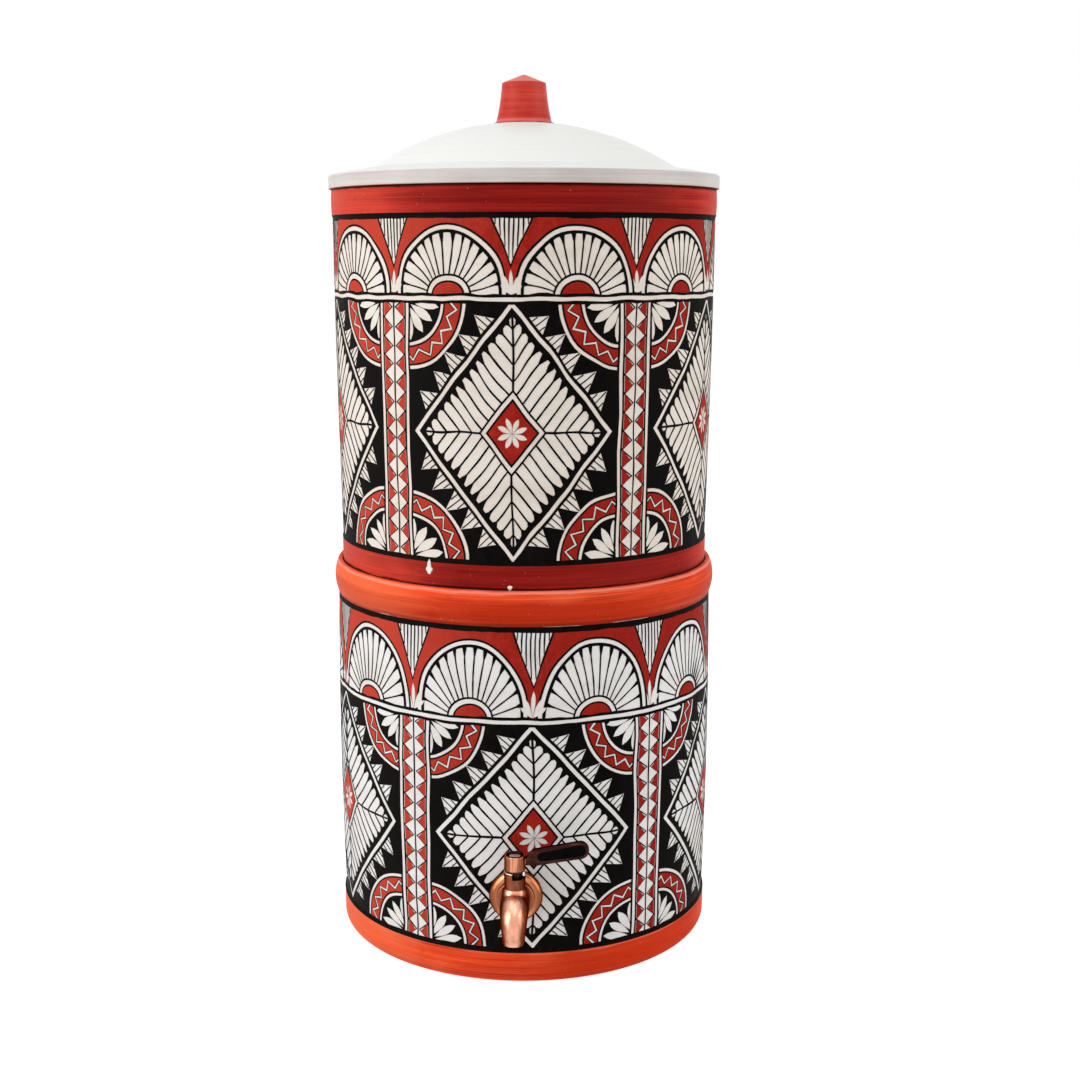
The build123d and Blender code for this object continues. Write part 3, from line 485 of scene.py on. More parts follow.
def barrel_material():
    """Copper painted dark as the hub's shade, with a bright top edge, and painted nearly black inside as
    shade in the notch.
    """
    shader, lines, stain = plating("dark_copper", (40.0, 40.0, 600.0))
    tone = painted_side_shade(shader, BARREL_SHADE_TONE, BARREL_SIDE_SHADE, stain)
    tone = shader.cover(tone, BARREL_TARNISH, stain, 0.45, 0.75, 0.8)
    # painted shade inside the notch
    tone = shader.mix(shader.under(shader.around(STEM_AXIS), 6.45, 0.15), tone, BARREL_INSIDE_SHADE)
    tone = shader.mix(shader.over(shader.along("Z"), BARREL_TOP - 0.5, 0.1), tone, BARREL_EDGE)
    return shader.finish(tone, shader.between(lines, 0.3, 0.7, 0.24, 0.36), shader.bump(lines, METAL_RELIEF))


def lever_material():
    """Copper hub, and an arm whose plating has darkened, both brushed along their length."""
    shader, lines, stain = plating("lever_copper", (70.0, 500.0, 500.0), 160.0)
    worn = shader.noise((620.0, 620.0, 14.0), detail=1.0, roughness=0.5, shift=1.3)
    hub = painted_side_shade(shader, HUB_TONE, COPPER_SIDE_SHADE, stain)
    hub = shader.cover(hub, COPPER_TARNISH, worn, 0.47, 0.56, 0.85)
    # painted shade in the hub's hollow round the stem
    hub = shader.mix(shader.under(shader.around(STEM_AXIS), 6.0, 0.2), hub, HUB_INSIDE_SHADE)
    arm = shader.cover(ARM_DARK, ARM_WORN, stain, 0.42, 0.7)
    arm = shader.cover(arm, ARM_LIGHT, lines, 0.5, 0.75, 0.4)
    edge = shader.waver(shader.along("X"), stain, 0.8)
    roughness = shader.between(lines, 0.3, 0.7, 0.2, 0.34)
    return shader.finish(shader.cover(hub, arm, edge, 6.3, 7.6), roughness, shader.bump(lines, 0.015 * MM))


def moulded(name, colour, second, roughness, relief, scale=900.0, gloss=0.45):
    """Plastic, rubber or ceramic with an even fine surface."""
    shader = Shader(name, Specular_IOR_Level=gloss)
    pores = shader.noise(scale, roughness=0.65)
    tone = shader.cover(colour, second, shader.noise(70.0), 0.35, 0.7)
    rough = shader.between(pores, 0.3, 0.7, roughness - 0.05, roughness + 0.07)
    return shader.finish(tone, rough, shader.bump(pores, relief * MM))


upper_field = (UPPER_FOOT_EDGE[1] + BAND_LAP, UPPER_BAND_EDGE[1] - BAND_LAP)
lower_field = (LOWER_FOOT_EDGE[1] + BAND_LAP, LOWER_WALL[2][1] - RIM_LAP)
upper_paint = jar_material(
    "upper_jar_paint", upper_field, UPPER_RAW, CREAM, UPPER_REDS, UPPER_SIDE_LIGHT, UPPER_PAINTED_LIGHT, 0.0, UPPER_LID_SHADOW
)
lower_paint = jar_material(
    "lower_jar_paint", lower_field, LOWER_RAW, CHALK, LOWER_REDS, LOWER_SIDE_LIGHT, LOWER_PAINTED_LIGHT, 20.0
)
black_film = film_material("black_line_paint", LINE_BLACKS, 0.46, 0.0)
red_film = film_material("red_line_paint", LINE_REDS, 0.44, 5.0)

# Two tones, roughness, relief in millimetres, and the pores' scale and the gloss where they differ
dark_joint = moulded("dark_joint_bead", (0.05, 0.018, 0.014), (0.09, 0.035, 0.027), 0.6, 0.03, 500.0)
white_drop = moulded("white_drop_paint", (0.8, 0.78, 0.74), (0.72, 0.68, 0.62), 0.4, 0.04, 300.0)
silicone = moulded("silicone", (0.74, 0.73, 0.7), (0.68, 0.66, 0.62), 0.55, 0.02)
rubber = moulded("black_rubber", (0.01, 0.01, 0.01), (0.018, 0.017, 0.016), 0.6, 0.02, gloss=0.2)
grip = moulded("black_grip", (0.0022, 0.0018, 0.002), (0.0036, 0.0032, 0.0034), 0.5, 0.02, gloss=0.01)
seat = moulded("seat_plastic", (0.83, 0.83, 0.8), (0.77, 0.77, 0.74), 0.3, 0.01)
nut = moulded("nut_plastic", (0.8, 0.8, 0.77), (0.74, 0.74, 0.7), 0.42, 0.03)
candle = moulded("filter_ceramic", (0.8, 0.76, 0.67), (0.7, 0.65, 0.55), 0.85, 0.09, 650.0)

# Polishing lines run up the cast pieces and across the turned ones
CAST = (420.0, 420.0, 40.0)
TURNED = (500.0, 60.0, 500.0)
copper = metal_material(
    "polished_copper", COPPER_TONE, COPPER_TARNISH, 0.27, CAST, COPPER_SIDE_SHADE, (COPPER_PAINTED_SHADE, "Y", 146.0, 142.5)
)
flange = metal_material(
    "flange_copper", FLANGE_TONE, COPPER_TARNISH, 0.22, CAST, COPPER_SIDE_SHADE, (FLANGE_PAINTED_SHADE, "X", 8.5, 15.0)
)
stem = metal_material("stem_painted_shade", STEM_SHADE_TONE, STEM_WORN, 0.45, TURNED)
steel = metal_material("bright_steel", STEEL_TONE, STEEL_WORN, 0.36, TURNED)

FINISHES = {
    upper_paint: ("upper_jar",),
    lower_paint: ("lower_jar",),
    lid_material(): ("lid",),
    knob_material(): ("lid_knob",),
    copper: ("tap_body",),
    flange: ("tap_flange",),
    barrel_material(): ("tap_bonnet",),
    lever_material(): ("lever_handle",),
    steel: ("valve_ball", "seat_retainer", "stop_pin", "lever_screw"),
    stem: ("valve_stem",),
    silicone: ("outer_washer", "inner_washer", "candle_upper_washer", "candle_lower_washer"),
    rubber: ("dust_washer", "stem_o_rings"),
    grip: ("lever_inlay",),
    seat: ("front_seat", "rear_seat"),
    nut: ("back_nut", "candle_base", "wing_nut"),
    candle: ("filter_candle",),
}
for material, names in FINISHES.items():
    for name in names:
        for slot in nodes[name].material_slots:
            slot.material = material


# Painted sheet: shapes laid over each other in order

GROUND, BLACK, RED = range(3)

# Nested outlines: each paint, and how far inside the outline it starts
ARCH_RINGS = ((BLACK, -1.4), (GROUND, 0.0), (BLACK, 2.6), (GROUND, 4.6))
SUN_RINGS = ((BLACK, -1.3), (GROUND, 0.0), (BLACK, 3.0), (RED, 4.2))
LOZENGE_RINGS = ((BLACK, -2.0), (GROUND, 0.0), (BLACK, 2.6), (GROUND, 6.0))
HEART_RINGS = ((BLACK, -1.5), (GROUND, 0.0), (BLACK, 3.0), (RED, 4.6))

SUN = (14.5, 13.0)  # half width and height of the half sun in an arch
RAYS = 15
DROP_HALF = 13.0  # half width of the drop between two arches
HATCHES = 9
FAN = ((40, 9.0), (65, 12.5), (90, 15.0), (115, 12.5), (140, 9.0))  # angle and length of each petal

COLUMN = 10.0  # half width of the zigzag column
COLUMN_STEPS = 14
COLUMN_BANDS = ((BLACK, COLUMN + 3.4), (GROUND, COLUMN + 2.0), (BLACK, COLUMN - 0.2), (GROUND, COLUMN - 1.3))
CORNER_UP = 84.0  # half height of the lozenge at which the corners' sizes are as given
CORNER_BANDS = ((GROUND, 44.5), (BLACK, 42.4), (RED, 41.2), (BLACK, 31.0), (GROUND, 29.8), (BLACK, 27.8))
CORNER_ZIGZAG = (33.2, 39.0)
CORNER_PETALS = (22.0, 20.5, 20.5, 22.0)
TEETH = 7
TOOTH = 14.0
FEATHERS = 7
HEART = 20.0
QUARTERS = [(side, rise) for side in (-1, 1) for rise in (-1, 1)]
MARGIN = 1.5


def point_between(a, b, share):
    return (a[0] + (b[0] - a[0]) * share, a[1] + (b[1] - a[1]) * share)


def divided(points, step):
    """Points along a line of straight runs, about a step apart."""
    path = [points[0]]
    for a, b in zip(points, points[1:]):
        count = max(1, round(math.dist(a, b) / step))
        path += [point_between(a, b, i / count) for i in range(1, count + 1)]
    return path


def on_ellipse(centre, across, up, turn):
    return (centre[0] + across * math.cos(turn), centre[1] + up * math.sin(turn))


def arch(centre, across, up, parts):
    """Points on the upper half of an ellipse."""
    return [on_ellipse(centre, across, up, math.radians(180 * i / parts)) for i in range(parts + 1)]


def lozenge(centre, across, up):
    x, y = centre
    return [(x, y - up), (x + across, y), (x, y + up), (x - across, y)]


def rectangle(left, right, low, high):
    return [(left, low), (right, low), (right, high), (left, high)]


def in_quarter(middle, side, rise, *points):
    """Points given from the middle, turned over into one of the quarters round it."""
    return [(middle[0] + side * x, middle[1] + rise * y) for x, y in points]


class Sheet:
    """A drawing of filled shapes; a later shape covers an earlier one."""

    def __init__(self, seed):
        self.shapes = []
        self.random = random.Random(seed)

    def area(self, paint, points):
        self.shapes.append((paint, points))

    def stroke(self, paint, points, width, start=1.0, end=1.0, step=6.0, taper=3.0):
        """A brush line of uneven width; start and end are its widths there as shares of the middle's, and
        it comes to them over one taper-th of its length."""
        path = divided(points, step)
        left, right = [], []
        last = len(path) - 1
        for i, (x, y) in enumerate(path):
            ax, ay = path[max(i - 1, 0)]
            bx, by = path[min(i + 1, last)]
            run = math.hypot(bx - ax, by - ay)
            nx, ny = (ay - by) / run, (bx - ax) / run
            share = i / last
            half = width / 2 * self.random.uniform(0.84, 1.16)
            half *= start + (1 - start) * min(1.0, share * taper)
            half *= end + (1 - end) * min(1.0, (1 - share) * taper)
            left.append((x + nx * half, y + ny * half))
            right.append((x - nx * half, y - ny * half))
        self.area(paint, left + right[::-1])

    def ring(self, paint, height, thickness, parts=30):
        """A line all round the jar, of slightly uneven thickness."""
        low = [thickness / 2 * self.random.uniform(0.86, 1.14) for _ in range(parts)]
        high = [thickness / 2 * self.random.uniform(0.86, 1.14) for _ in range(parts)]
        along = [TILE_WIDTH * i / parts for i in range(parts + 1)]
        under = [(x, height - t) for x, t in zip(along, low + low[:1])]
        over = [(x, height + t) for x, t in zip(along, high + high[:1])]
        self.area(paint, under + over[::-1])

    def petal(self, paint, root, angle, length, width, parts=6):
        """A petal, narrow at its root and blunt at its tip."""
        across, up = math.cos(angle), math.sin(angle)
        left, right = [root], []
        for i in range(1, parts + 1):
            share = i / parts
            half = width / 2 * math.sin(math.pi * share**1.3) ** 0.8 if i < parts else 0.0
            x, y = root[0] + across * length * share, root[1] + up * length * share
            left.append((x - up * half, y + across * half))
            right.append((x + up * half, y - across * half))
        self.area(paint, left + right[-2::-1])

    def hatched_triangle(self, a, b, tip, lines=3):
        """A ground triangle outlined by what lies round it, filled with fine upright lines."""
        self.area(GROUND, [a, b, tip])
        for i in range(1, lines + 1):
            share = i / (lines + 1)
            foot = point_between(a, b, share)
            top = point_between(a if share <= 0.5 else b, tip, 1 - abs(2 * share - 1))
            self.stroke(BLACK, [foot, point_between(foot, top, 0.9)], 0.75, step=9.0)

    def outlined(self, rings, shape):
        """Nested outlines, where shape makes the points for one inset."""
        for paint, inset in rings:
            self.area(paint, shape(inset))


def draw_arch(sheet, foot, across, up):
    """An arch of fine rays round a half sun."""
    sheet.outlined(ARCH_RINGS, lambda inset: arch(foot, across - inset, up - inset, 30))
    for i in range(1, RAYS):
        turn = math.pi * i / RAYS
        inner = on_ellipse(foot, SUN[0] - 0.5, SUN[1] - 0.5, turn)
        outer = on_ellipse(foot, across - 3.4, up - 3.4, turn)
        sheet.stroke(BLACK, [outer, inner], 0.95, start=3.6, end=0.8, step=3.5, taper=5.0)
    sheet.outlined(SUN_RINGS, lambda inset: arch(foot, SUN[0] - inset, SUN[1] - inset, 16))


def draw_drop(sheet, middle, low, high):
    """A hatched drop that hangs between two arches, and a small fan between their feet."""
    drop = (high - low) * 0.62
    for paint, grow in ((BLACK, 1.5), (GROUND, 0.0)):
        half, tip = DROP_HALF + grow, high - drop - 1.6 * grow
        sheet.area(paint, [(middle - half, high), (middle + half, high), (middle, tip)])
    for i in range(1, HATCHES):
        share = i / (HATCHES / 2) - 1
        x, reach = middle + DROP_HALF * share, drop * (1 - abs(share))
        sheet.stroke(BLACK, [(x, high), (x, high - reach + 0.6)], 0.95, end=0.6, step=8.0)
    for turn, length in FAN:
        sheet.petal(GROUND, (middle, low + MARGIN), math.radians(turn), length * (high - low) / 50, 3.0)


def draw_frieze(sheet, low, high):
    """Two arches on red, with a drop and a fan between them."""
    width, tall = TILE_WIDTH / 2, high - low
    sheet.area(RED, rectangle(0, TILE_WIDTH, low, high))
    for index in range(2):
        draw_arch(sheet, (width * (index + 0.5), low), width * 0.46, tall * 0.86)
        draw_drop(sheet, width * index, low, high)


def draw_corner(sheet, root, side, rise, size):
    """Petals that fan out from a corner of the field, inside a red zigzag band."""

    def spot(reach, turn):
        across, up = math.cos(math.radians(turn)), math.sin(math.radians(turn))
        return (root[0] - side * reach * size * across, root[1] - rise * reach * size * up)

    for paint, reach in CORNER_BANDS:
        sheet.area(paint, [root, *(spot(reach, 6.0 * i) for i in range(16))])
    zigzag = [spot(CORNER_ZIGZAG[i % 2], 9.0 * i) for i in range(11)]
    sheet.stroke(BLACK, zigzag, 3.1)
    sheet.stroke(GROUND, zigzag, 1.6)
    for i, length in enumerate(CORNER_PETALS):
        turn = 10.0 + 23.5 * i
        start, end = spot(4.5, turn), spot(4.5 + length, turn)
        angle = math.atan2(end[1] - start[1], end[0] - start[0])
        sheet.petal(GROUND, start, angle, math.dist(start, end), 6.2 * size)


def draw_teeth(sheet, corners):
    """Hatched teeth that stand on the sides of a shape, tallest in the middle of each."""
    for a, b in zip(corners, corners[1:] + corners[:1]):
        run = math.dist(a, b)
        out = ((b[1] - a[1]) / run, (a[0] - b[0]) / run)
        for i in range(1, TEETH - 1):
            start, end = point_between(a, b, (i + 0.03) / TEETH), point_between(a, b, (i + 0.97) / TEETH)
            reach = TOOTH * (1 - 0.5 * abs(i - (TEETH - 1) / 2) / TEETH)
            peak = point_between(start, end, 0.5)
            sheet.hatched_triangle(start, end, (peak[0] + out[0] * reach, peak[1] + out[1] * reach))


def draw_feathers(sheet, middle, wide, tall):
    """Slanting lines in a lozenge: teeth at its edge that thin out towards its axes."""
    for side, rise in QUARTERS:
        for i in range(1, FEATHERS):
            t = i / FEATHERS
            near, far = (1 - t) / 2, t + (1 - t) / 2
            steep = (wide * near, tall * far), (0.0, tall * t)
            flat = (wide * far, tall * near), (wide * t, 0.0)
            for start, end in (steep, flat):
                path = in_quarter(middle, side, rise, start, end)
                sheet.stroke(BLACK, path, 1.15, start=5.2, end=0.8, step=3.5, taper=6.0)
        path = in_quarter(middle, side, rise, (wide / 2, tall / 2), (0.0, 0.0))
        sheet.stroke(BLACK, path, 1.15, start=5.2, step=3.5, taper=9.0)
    for start, end in (((0, -tall), (0, tall)), ((-wide, 0), (wide, 0))):
        sheet.stroke(BLACK, in_quarter(middle, 1, 1, start, end), 1.4)


def draw_heart(sheet, middle):
    """A small red lozenge with a flower of eight petals."""
    sheet.outlined(HEART_RINGS, lambda inset: lozenge(middle, HEART - inset, (HEART - inset) * 1.3))
    for i in range(8):
        sheet.petal(GROUND, middle, math.pi * (i + 0.5) / 4, 10.5, 3.6)


def draw_column(sheet, low, high):
    """The column on the tile's edge: red teeth on cream, with a fine line between them."""
    for paint, half in COLUMN_BANDS:
        sheet.area(paint, rectangle(-half, half, low, high))
    edge, rise = COLUMN_BANDS[-1][1], (high - low) / COLUMN_STEPS
    for i in range(COLUMN_STEPS):
        foot = low + rise * i
        for side in (-1, 1):
            tooth = [(side * edge, foot), (side * edge, foot + rise), (side * 1.4, foot + rise / 2)]
            sheet.stroke(BLACK, [tooth[0], tooth[2], tooth[1]], 1.1, step=7.0)
            inner = [point_between(tooth[2], corner, 0.94) for corner in tooth[:2]]
            sheet.area(RED, [*inner, point_between(inner[0], tooth[2], 0.86)])
    sheet.stroke(BLACK, [(0, low), (0, high)], 1.0, step=9.0)


def draw_field(sheet, low, high):
    """A tall lozenge of fine slanting lines on black, toothed outside, between red zigzag columns."""
    middle = (TILE_WIDTH / 2, (low + high) / 2)
    across, up = TILE_WIDTH / 2 - COLUMN - 6.5, (high - low) / 2 - 1.0
    slope = math.hypot(across, up) / up  # sideways distance for one step square to an edge

    def inset_lozenge(inset):
        share = 1 - inset * slope / across
        return lozenge(middle, across * share, up * share)

    sheet.area(BLACK, rectangle(0, TILE_WIDTH, low, high))
    for side, rise in QUARTERS:
        root = (middle[0] + side * (TILE_WIDTH / 2 - COLUMN), middle[1] + rise * up)
        draw_corner(sheet, root, side, rise, up / CORNER_UP)
    draw_teeth(sheet, inset_lozenge(-1.0))
    sheet.outlined(LOZENGE_RINGS, inset_lozenge)
    share = 1 - 4.6 * slope / across
    draw_feathers(sheet, middle, across * share, up * share)
    draw_heart(sheet, middle)
    draw_column(sheet, low, high)


def draw_sheet(seed, height, split):
    """One tile of the painted field, with the frieze above the double line at split."""
    sheet = Sheet(seed)
    sheet.area(GROUND, rectangle(0, TILE_WIDTH, 0, height))
    draw_field(sheet, MARGIN, split)
    draw_frieze(sheet, split + MARGIN, height - 1.0)
    sheet.ring(BLACK, split, 6.4)
    sheet.ring(GROUND, split, 2.6)
    sheet.ring(BLACK, MARGIN, 3.4)
    sheet.ring(BLACK, height - MARGIN, 4.4)
    return sheet


# Films of paint on the jars


def arc_radius(points, height):
    """Radius at heights on the arc through three (radius, height) points."""
    (r1, z1), (r2, z2), (r3, z3) = points
    cross = 2 * (r1 * (z2 - z3) + r2 * (z3 - z1) + r3 * (z1 - z2))
    s1, s2, s3 = r1**2 + z1**2, r2**2 + z2**2, r3**2 + z3**2
    centre_r = (s1 * (z2 - z3) + s2 * (z3 - z1) + s3 * (z1 - z2)) / cross
    centre_z = (s1 * (r3 - r2) + s2 * (r1 - r3) + s3 * (r2 - r1)) / cross
    reach = math.hypot(r1 - centre_r, z1 - centre_z)
    return centre_r + np.sqrt(reach**2 - (height - centre_z) ** 2)


def wall_radius(profile, height):
    """Radius of the painted wall: an arc between straight steps to the bands' edges."""
    below, wall, above = profile
    radius = arc_radius(wall, np.clip(height, wall[0][1], wall[2][1]))
    for edge, end in ((below, wall[0]), (above, wall[2])):
        if edge:
            share = np.clip((height - end[1]) / (edge[1] - end[1]), 0, 1)
            radius = radius + share * (edge[0] - end[0])
    return radius


def inside(shape, places):
    """Whether places lie inside a closed outline, by how often it winds round them."""
    shape, turns = np.array(shape), np.zeros(len(places), int)
    for (ax, ay), (bx, by) in zip(shape, np.roll(shape, -1, axis=0)):
        left = (bx - ax) * (places[:, 1] - ay) - (places[:, 0] - ax) * (by - ay) > 0
        turns += (ay <= places[:, 1]) & (places[:, 1] < by) & left
        turns -= (by <= places[:, 1]) & (places[:, 1] < ay) & ~left
    return turns != 0


def tiled_faces(sheet, height):
    """The sheet cut into triangles with their paints, for one tile: (places, triangles, paints)."""
    places, edges, shapes = [], [], []
    for paint, points in sheet.shapes:
        xs = [x for x, _ in points]
        for shift in (-TILE_WIDTH, 0.0, TILE_WIDTH):
            if max(xs) + shift > 0 and min(xs) + shift < TILE_WIDTH:
                moved = [(x + shift, min(max(y, 0.0), height)) for x, y in points]
                first, count = len(places), len(points)
                edges += [(first + i, first + (i + 1) % count) for i in range(count)]
                places += moved
                shapes.append((paint, moved))
    columns = [TILE_WIDTH * i / COLUMNS for i in range(COLUMNS + 1)]
    rows = [ROW_END, *np.arange(ROW_STEP, height - ROW_STEP / 3, ROW_STEP), height - ROW_END]
    lines = [((x, 0), (x, height)) for x in columns] + [((0, y), (TILE_WIDTH, y)) for y in rows]
    for a, b in lines:
        edges.append((len(places), len(places) + 1))
        places += [a, b]
    cut = geometry.delaunay_2d_cdt([Vector(p) for p in places], edges, [], 0, 1e-4)
    points, triangles = np.array([tuple(p) for p in cut[0]]), np.array(cut[2])
    middles = points[triangles].mean(1)
    within = (middles[:, 0] > 0) & (middles[:, 0] < TILE_WIDTH)
    triangles, middles = triangles[within], middles[within]
    paints = np.full(len(triangles), GROUND)
    for paint, shape in shapes:
        low, high = np.min(shape, axis=0), np.max(shape, axis=0)
        near = np.flatnonzero(((middles >= low) & (middles <= high)).all(1))
        paints[near[inside(shape, middles[near])]] = paint
    return points, triangles, paints


def hand_drift(seed, angle, height, length):
    """How far a steady but human hand drifts, in millimetres, the same after a full turn."""
    chance = random.Random(seed)
    drift = np.zeros_like(angle)
    for _ in range(9):
        turns, rise = chance.randint(3, 34), chance.uniform(-0.16, 0.16)
        share = chance.uniform(0.4, 1.0)
        drift += share * np.sin(turns * angle + rise * height + chance.uniform(0, math.tau))
    return length * drift / 3 * np.clip(np.minimum(height, height.max() - height) / 8, 0, 1)


def mesh_piece(name, body, material, places, faces, normals=None):
    """A smooth piece from places in millimetres that rides a body, with its own normals if given."""
    mesh = bpy.data.meshes.new(name)
    mesh.from_pydata((np.array(places) * MM).tolist(), [], faces)
    mesh.shade_smooth()
    if normals is not None:
        mesh.normals_split_custom_set(normals.tolist())
    mesh.materials.append(material)
    piece = bpy.data.objects.new(name, mesh)
    bpy.context.collection.objects.link(piece)
    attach(piece, body)


def film_piece(name, body, material, places, outward, triangles):
    """Closed thin film over the triangles, with normals that follow the wall on its face."""
    used, triangles = np.unique(triangles, return_inverse=True)
    triangles = triangles.reshape(-1, 3)
    places, outward = places[used], outward[used]
    count = len(places)
    sides = np.concatenate([triangles[:, [0, 1]], triangles[:, [1, 2]], triangles[:, [2, 0]]])
    keys = sides.min(1) * count + sides.max(1)
    _, first, times = np.unique(keys, return_index=True, return_counts=True)
    rim = sides[first[times == 1]]
    walls = np.column_stack([rim[:, 1], rim[:, 0], rim[:, 0] + count, rim[:, 1] + count])
    vertices = np.concatenate([places + outward * FILM_TOP, places + outward * FILM_FOOT])
    faces = [*triangles.tolist(), *(triangles[:, ::-1] + count).tolist(), *walls.tolist()]
    across = places[walls[:, 0]] - places[walls[:, 1]]
    wall_normal = np.cross(across, outward[walls[:, 0]])
    wall_normal /= np.linalg.norm(wall_normal, axis=1)[:, None]
    face_normals = outward[triangles].reshape(-1, 3), -outward[triangles[:, ::-1]].reshape(-1, 3)
    normals = np.concatenate([*face_normals, np.repeat(wall_normal, 4, axis=0)])
    mesh_piece(name, body, material, vertices, faces, normals)


def paint_jar(jar, seed, split, profile, phase):
    """Draws the sheet, wraps it round the jar from band to band and makes a film of each paint."""
    below, wall, above = profile
    low, high = below[1], (above or wall[2])[1]
    height = high - low
    points, triangles, paints = tiled_faces(draw_sheet(seed, height, split), height)
    # All tiles share their edges, so points are told apart by their place on the whole sheet.
    turns = np.arange(TILES)[:, None]
    x = (points[:, 0] + turns * TILE_WIDTH).ravel() % (TILES * TILE_WIDTH)
    x[np.abs(x - TILES * TILE_WIDTH) < 1e-3] = 0.0
    y = np.tile(points[:, 1], TILES)
    keys = np.round(x * 500).astype(np.int64) * 10_000_000 + np.round(y * 500).astype(np.int64)
    _, first, shared = np.unique(keys, return_index=True, return_inverse=True)
    faces = shared.ravel()[(triangles[None] + turns[:, None] * len(points)).reshape(-1, 3)]
    paints = np.tile(paints, TILES)
    whole = (faces[:, 0] != faces[:, 1]) & (faces[:, 1] != faces[:, 2]) & (faces[:, 2] != faces[:, 0])
    faces, paints = faces[whole], paints[whole]

    x, y = x[first], y[first]
    angle = x / SHEET_RADIUS
    turn = angle + phase + hand_drift(seed, angle, y, 0.8) / SHEET_RADIUS
    z = low + y + hand_drift(seed + 1, angle, y, 0.5)
    radius = wall_radius(profile, z)
    lean = (wall_radius(profile, z + 0.2) - wall_radius(profile, z - 0.2)) / 0.4
    # Angles run from the tap's side, -Y, towards +X.
    places = np.column_stack([radius * np.sin(turn), -radius * np.cos(turn), z])
    outward = np.column_stack([np.sin(turn), -np.cos(turn), -lean])
    outward /= np.linalg.norm(outward, axis=1)[:, None]
    for paint, material, word in ((BLACK, black_film, "black"), (RED, red_film, "red")):
        film_piece(f"{jar}_paint_{word}", jar, material, places, outward, faces[paints == paint])


paint_jar("upper", 11, UPPER_SPLIT, (UPPER_FOOT_EDGE, UPPER_WALL, UPPER_BAND_EDGE), UPPER_PHASE)
paint_jar("lower", 23, LOWER_SPLIT, (LOWER_FOOT_EDGE, LOWER_WALL, None), LOWER_PHASE)


# Marks of the hand that painted it


def grid_faces(rows, columns, closed=False):
    """Faces between rows of points that each go once round, and back to the first row if closed."""
    faces = []
    for row in range(rows if closed else rows - 1):
        above = (row + 1) % rows
        for i in range(columns):
            j = (i + 1) % columns
            faces.append((row * columns + i, row * columns + j, above * columns + j, above * columns + i))
    return faces


def drip(degrees, height, width, tail, thickness):
    """A drop of paint on the upper foot, round below and drawn up to a tail: places and faces."""
    around, rings = 28, 7
    wall, angle = UPPER_FOOT_EDGE[0], math.radians(degrees)
    places = []
    for ring in range(rings):
        share = 1 - ring / rings
        out = wall + (thickness * math.sqrt(1 - share**2.4) if ring else -0.2)
        for i in range(around):
            turn = math.tau * i / around
            off = (math.degrees(turn) + 90) % 360 - 180
            reach = width + tail * math.exp(-((off / 20) ** 2)) + 0.18 * width * math.sin(3 * turn)
            at = angle + share * reach * math.cos(turn) / wall
            up = height + share * reach * math.sin(turn)
            places.append((out * math.sin(at), -out * math.cos(at), up))
    last = (rings - 1) * around
    caps = [tuple(range(around))[::-1], tuple(range(last, last + around))]
    return places, grid_faces(rings, around) + caps


def paint_drips():
    """White drops left on the upper jar's foot band."""
    places, faces = [], []
    for shape in DRIPS:
        more, sides = drip(*shape)
        faces += [tuple(i + len(places) for i in face) for face in sides]
        places += more
    mesh_piece("white_drips", "upper", white_drop, places, faces)


def knob_joint():
    """A thin uneven dark bead all round the knob's joint with the lid."""
    radius, height, thickness = KNOB_JOINT
    around, section = 160, 8
    chance = random.Random(5)
    waves = [(chance.randint(2, 19), chance.uniform(0, math.tau)) for _ in range(6)]
    places = []
    for k in range(section):
        tilt = math.tau * k / section
        for i in range(around):
            turn = math.tau * i / around
            bead = thickness * (1 + 0.09 * sum(math.sin(n * turn + start) for n, start in waves))
            out = radius + bead * math.cos(tilt)
            places.append((out * math.cos(turn), out * math.sin(turn), height + bead * math.sin(tilt)))
    faces = grid_faces(section, around, closed=True)
    mesh_piece("knob_joint_line", "lid", dark_joint, places, faces)


paint_drips()
knob_joint()


# Floor, light and camera


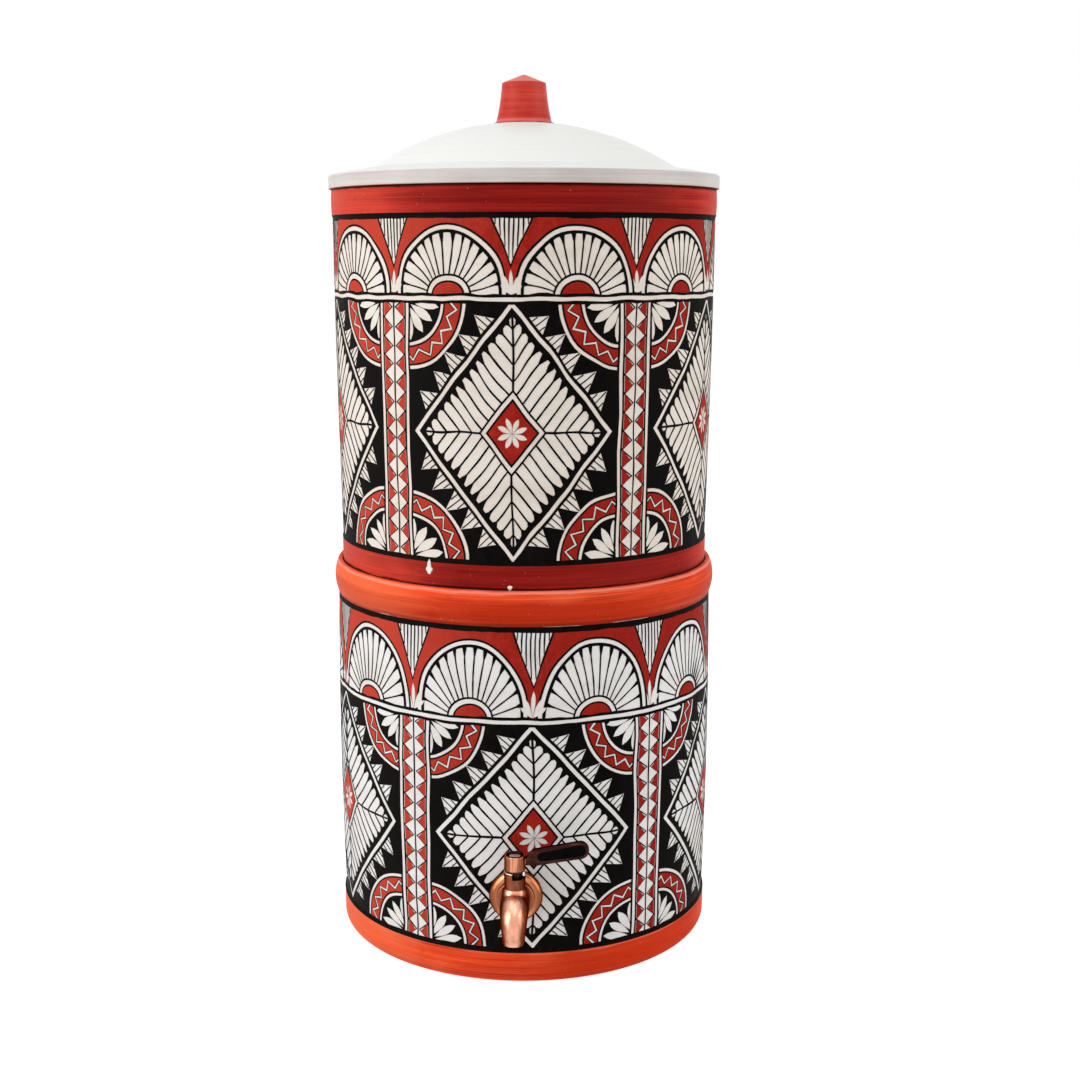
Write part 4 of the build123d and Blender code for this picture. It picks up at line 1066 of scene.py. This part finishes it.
def floor():
    """Pale round floor that shows white to the camera and in metal, and keeps the jar's shadow."""
    place = (0, 0, FLOOR_HEIGHT)
    bpy.ops.mesh.primitive_circle_add(vertices=128, radius=FLOOR_RADIUS, fill_type="NGON", location=place)
    plane = bpy.context.object
    plane.name = "floor"
    shader = Shader("floor_white", Base_Color=FLOOR_GREY, Roughness=0.9, Emission_Color=(1, 1, 1, 1))
    rays = shader.add("LightPath")
    glow = 0.0
    for ray, strength in FLOOR_GLOW:
        glow = shader.math("ADD", shader.times(rays[ray], strength), glow)
    shader.feed(shader.surface.inputs["Emission Strength"], glow)
    plane.data.materials.append(shader.owner)


def world():
    """White to the camera and in metal, and a weaker even light on surfaces."""
    shader = Shader("studio", bpy.data.worlds, "Background", Color=(1, 1, 1, 1))
    rays = shader.add("LightPath")
    seen = rays["Is Camera Ray"]
    for ray in ("Is Glossy Ray", "Is Transmission Ray"):
        seen = shader.math("MAXIMUM", seen, rays[ray])
    shader.feed(shader.surface.inputs["Strength"], shader.between(seen, 0.0, 1.0, SKY_LIGHT))
    bpy.context.scene.world = shader.owner


def aimed(name, data, place, look):
    """A lamp or camera at a place, turned to look in a direction."""
    holder = bpy.data.objects.new(name, data)
    holder.location = place
    holder.rotation_euler = look.to_track_quat("-Z", "Y").to_euler()
    bpy.context.collection.objects.link(holder)
    return holder


def softbox(name, place, target, width, height, power):
    """A lamp with a flat face, turned to its target."""
    lamp = bpy.data.lights.new(name, "AREA")
    lamp.shape = "RECTANGLE"
    lamp.size, lamp.size_y, lamp.energy = width, height, power
    aimed(name, lamp, place, Vector(target) - Vector(place))


def camera():
    """The photograph's camera, a little to the right of the tap and looking down at the jar's axis."""
    lens = bpy.data.cameras.new("camera")
    lens.lens, lens.sensor_width, lens.shift_x = camera_lens, camera_sensor, camera_shift
    lens.clip_start, lens.clip_end = 0.05, 50.0
    side, ahead = math.sin(camera_azimuth), math.cos(camera_azimuth)
    place = (camera_distance * side, -camera_distance * ahead, camera_height)
    level = math.cos(camera_pitch)
    look = Vector((-side * level, ahead * level, -math.sin(camera_pitch)))
    bpy.context.scene.camera = aimed("camera", lens, place, look)


floor()
world()
for lamp in LAMPS:
    softbox(*lamp)
camera()
bpy.context.scene.view_settings.view_transform = "Standard"
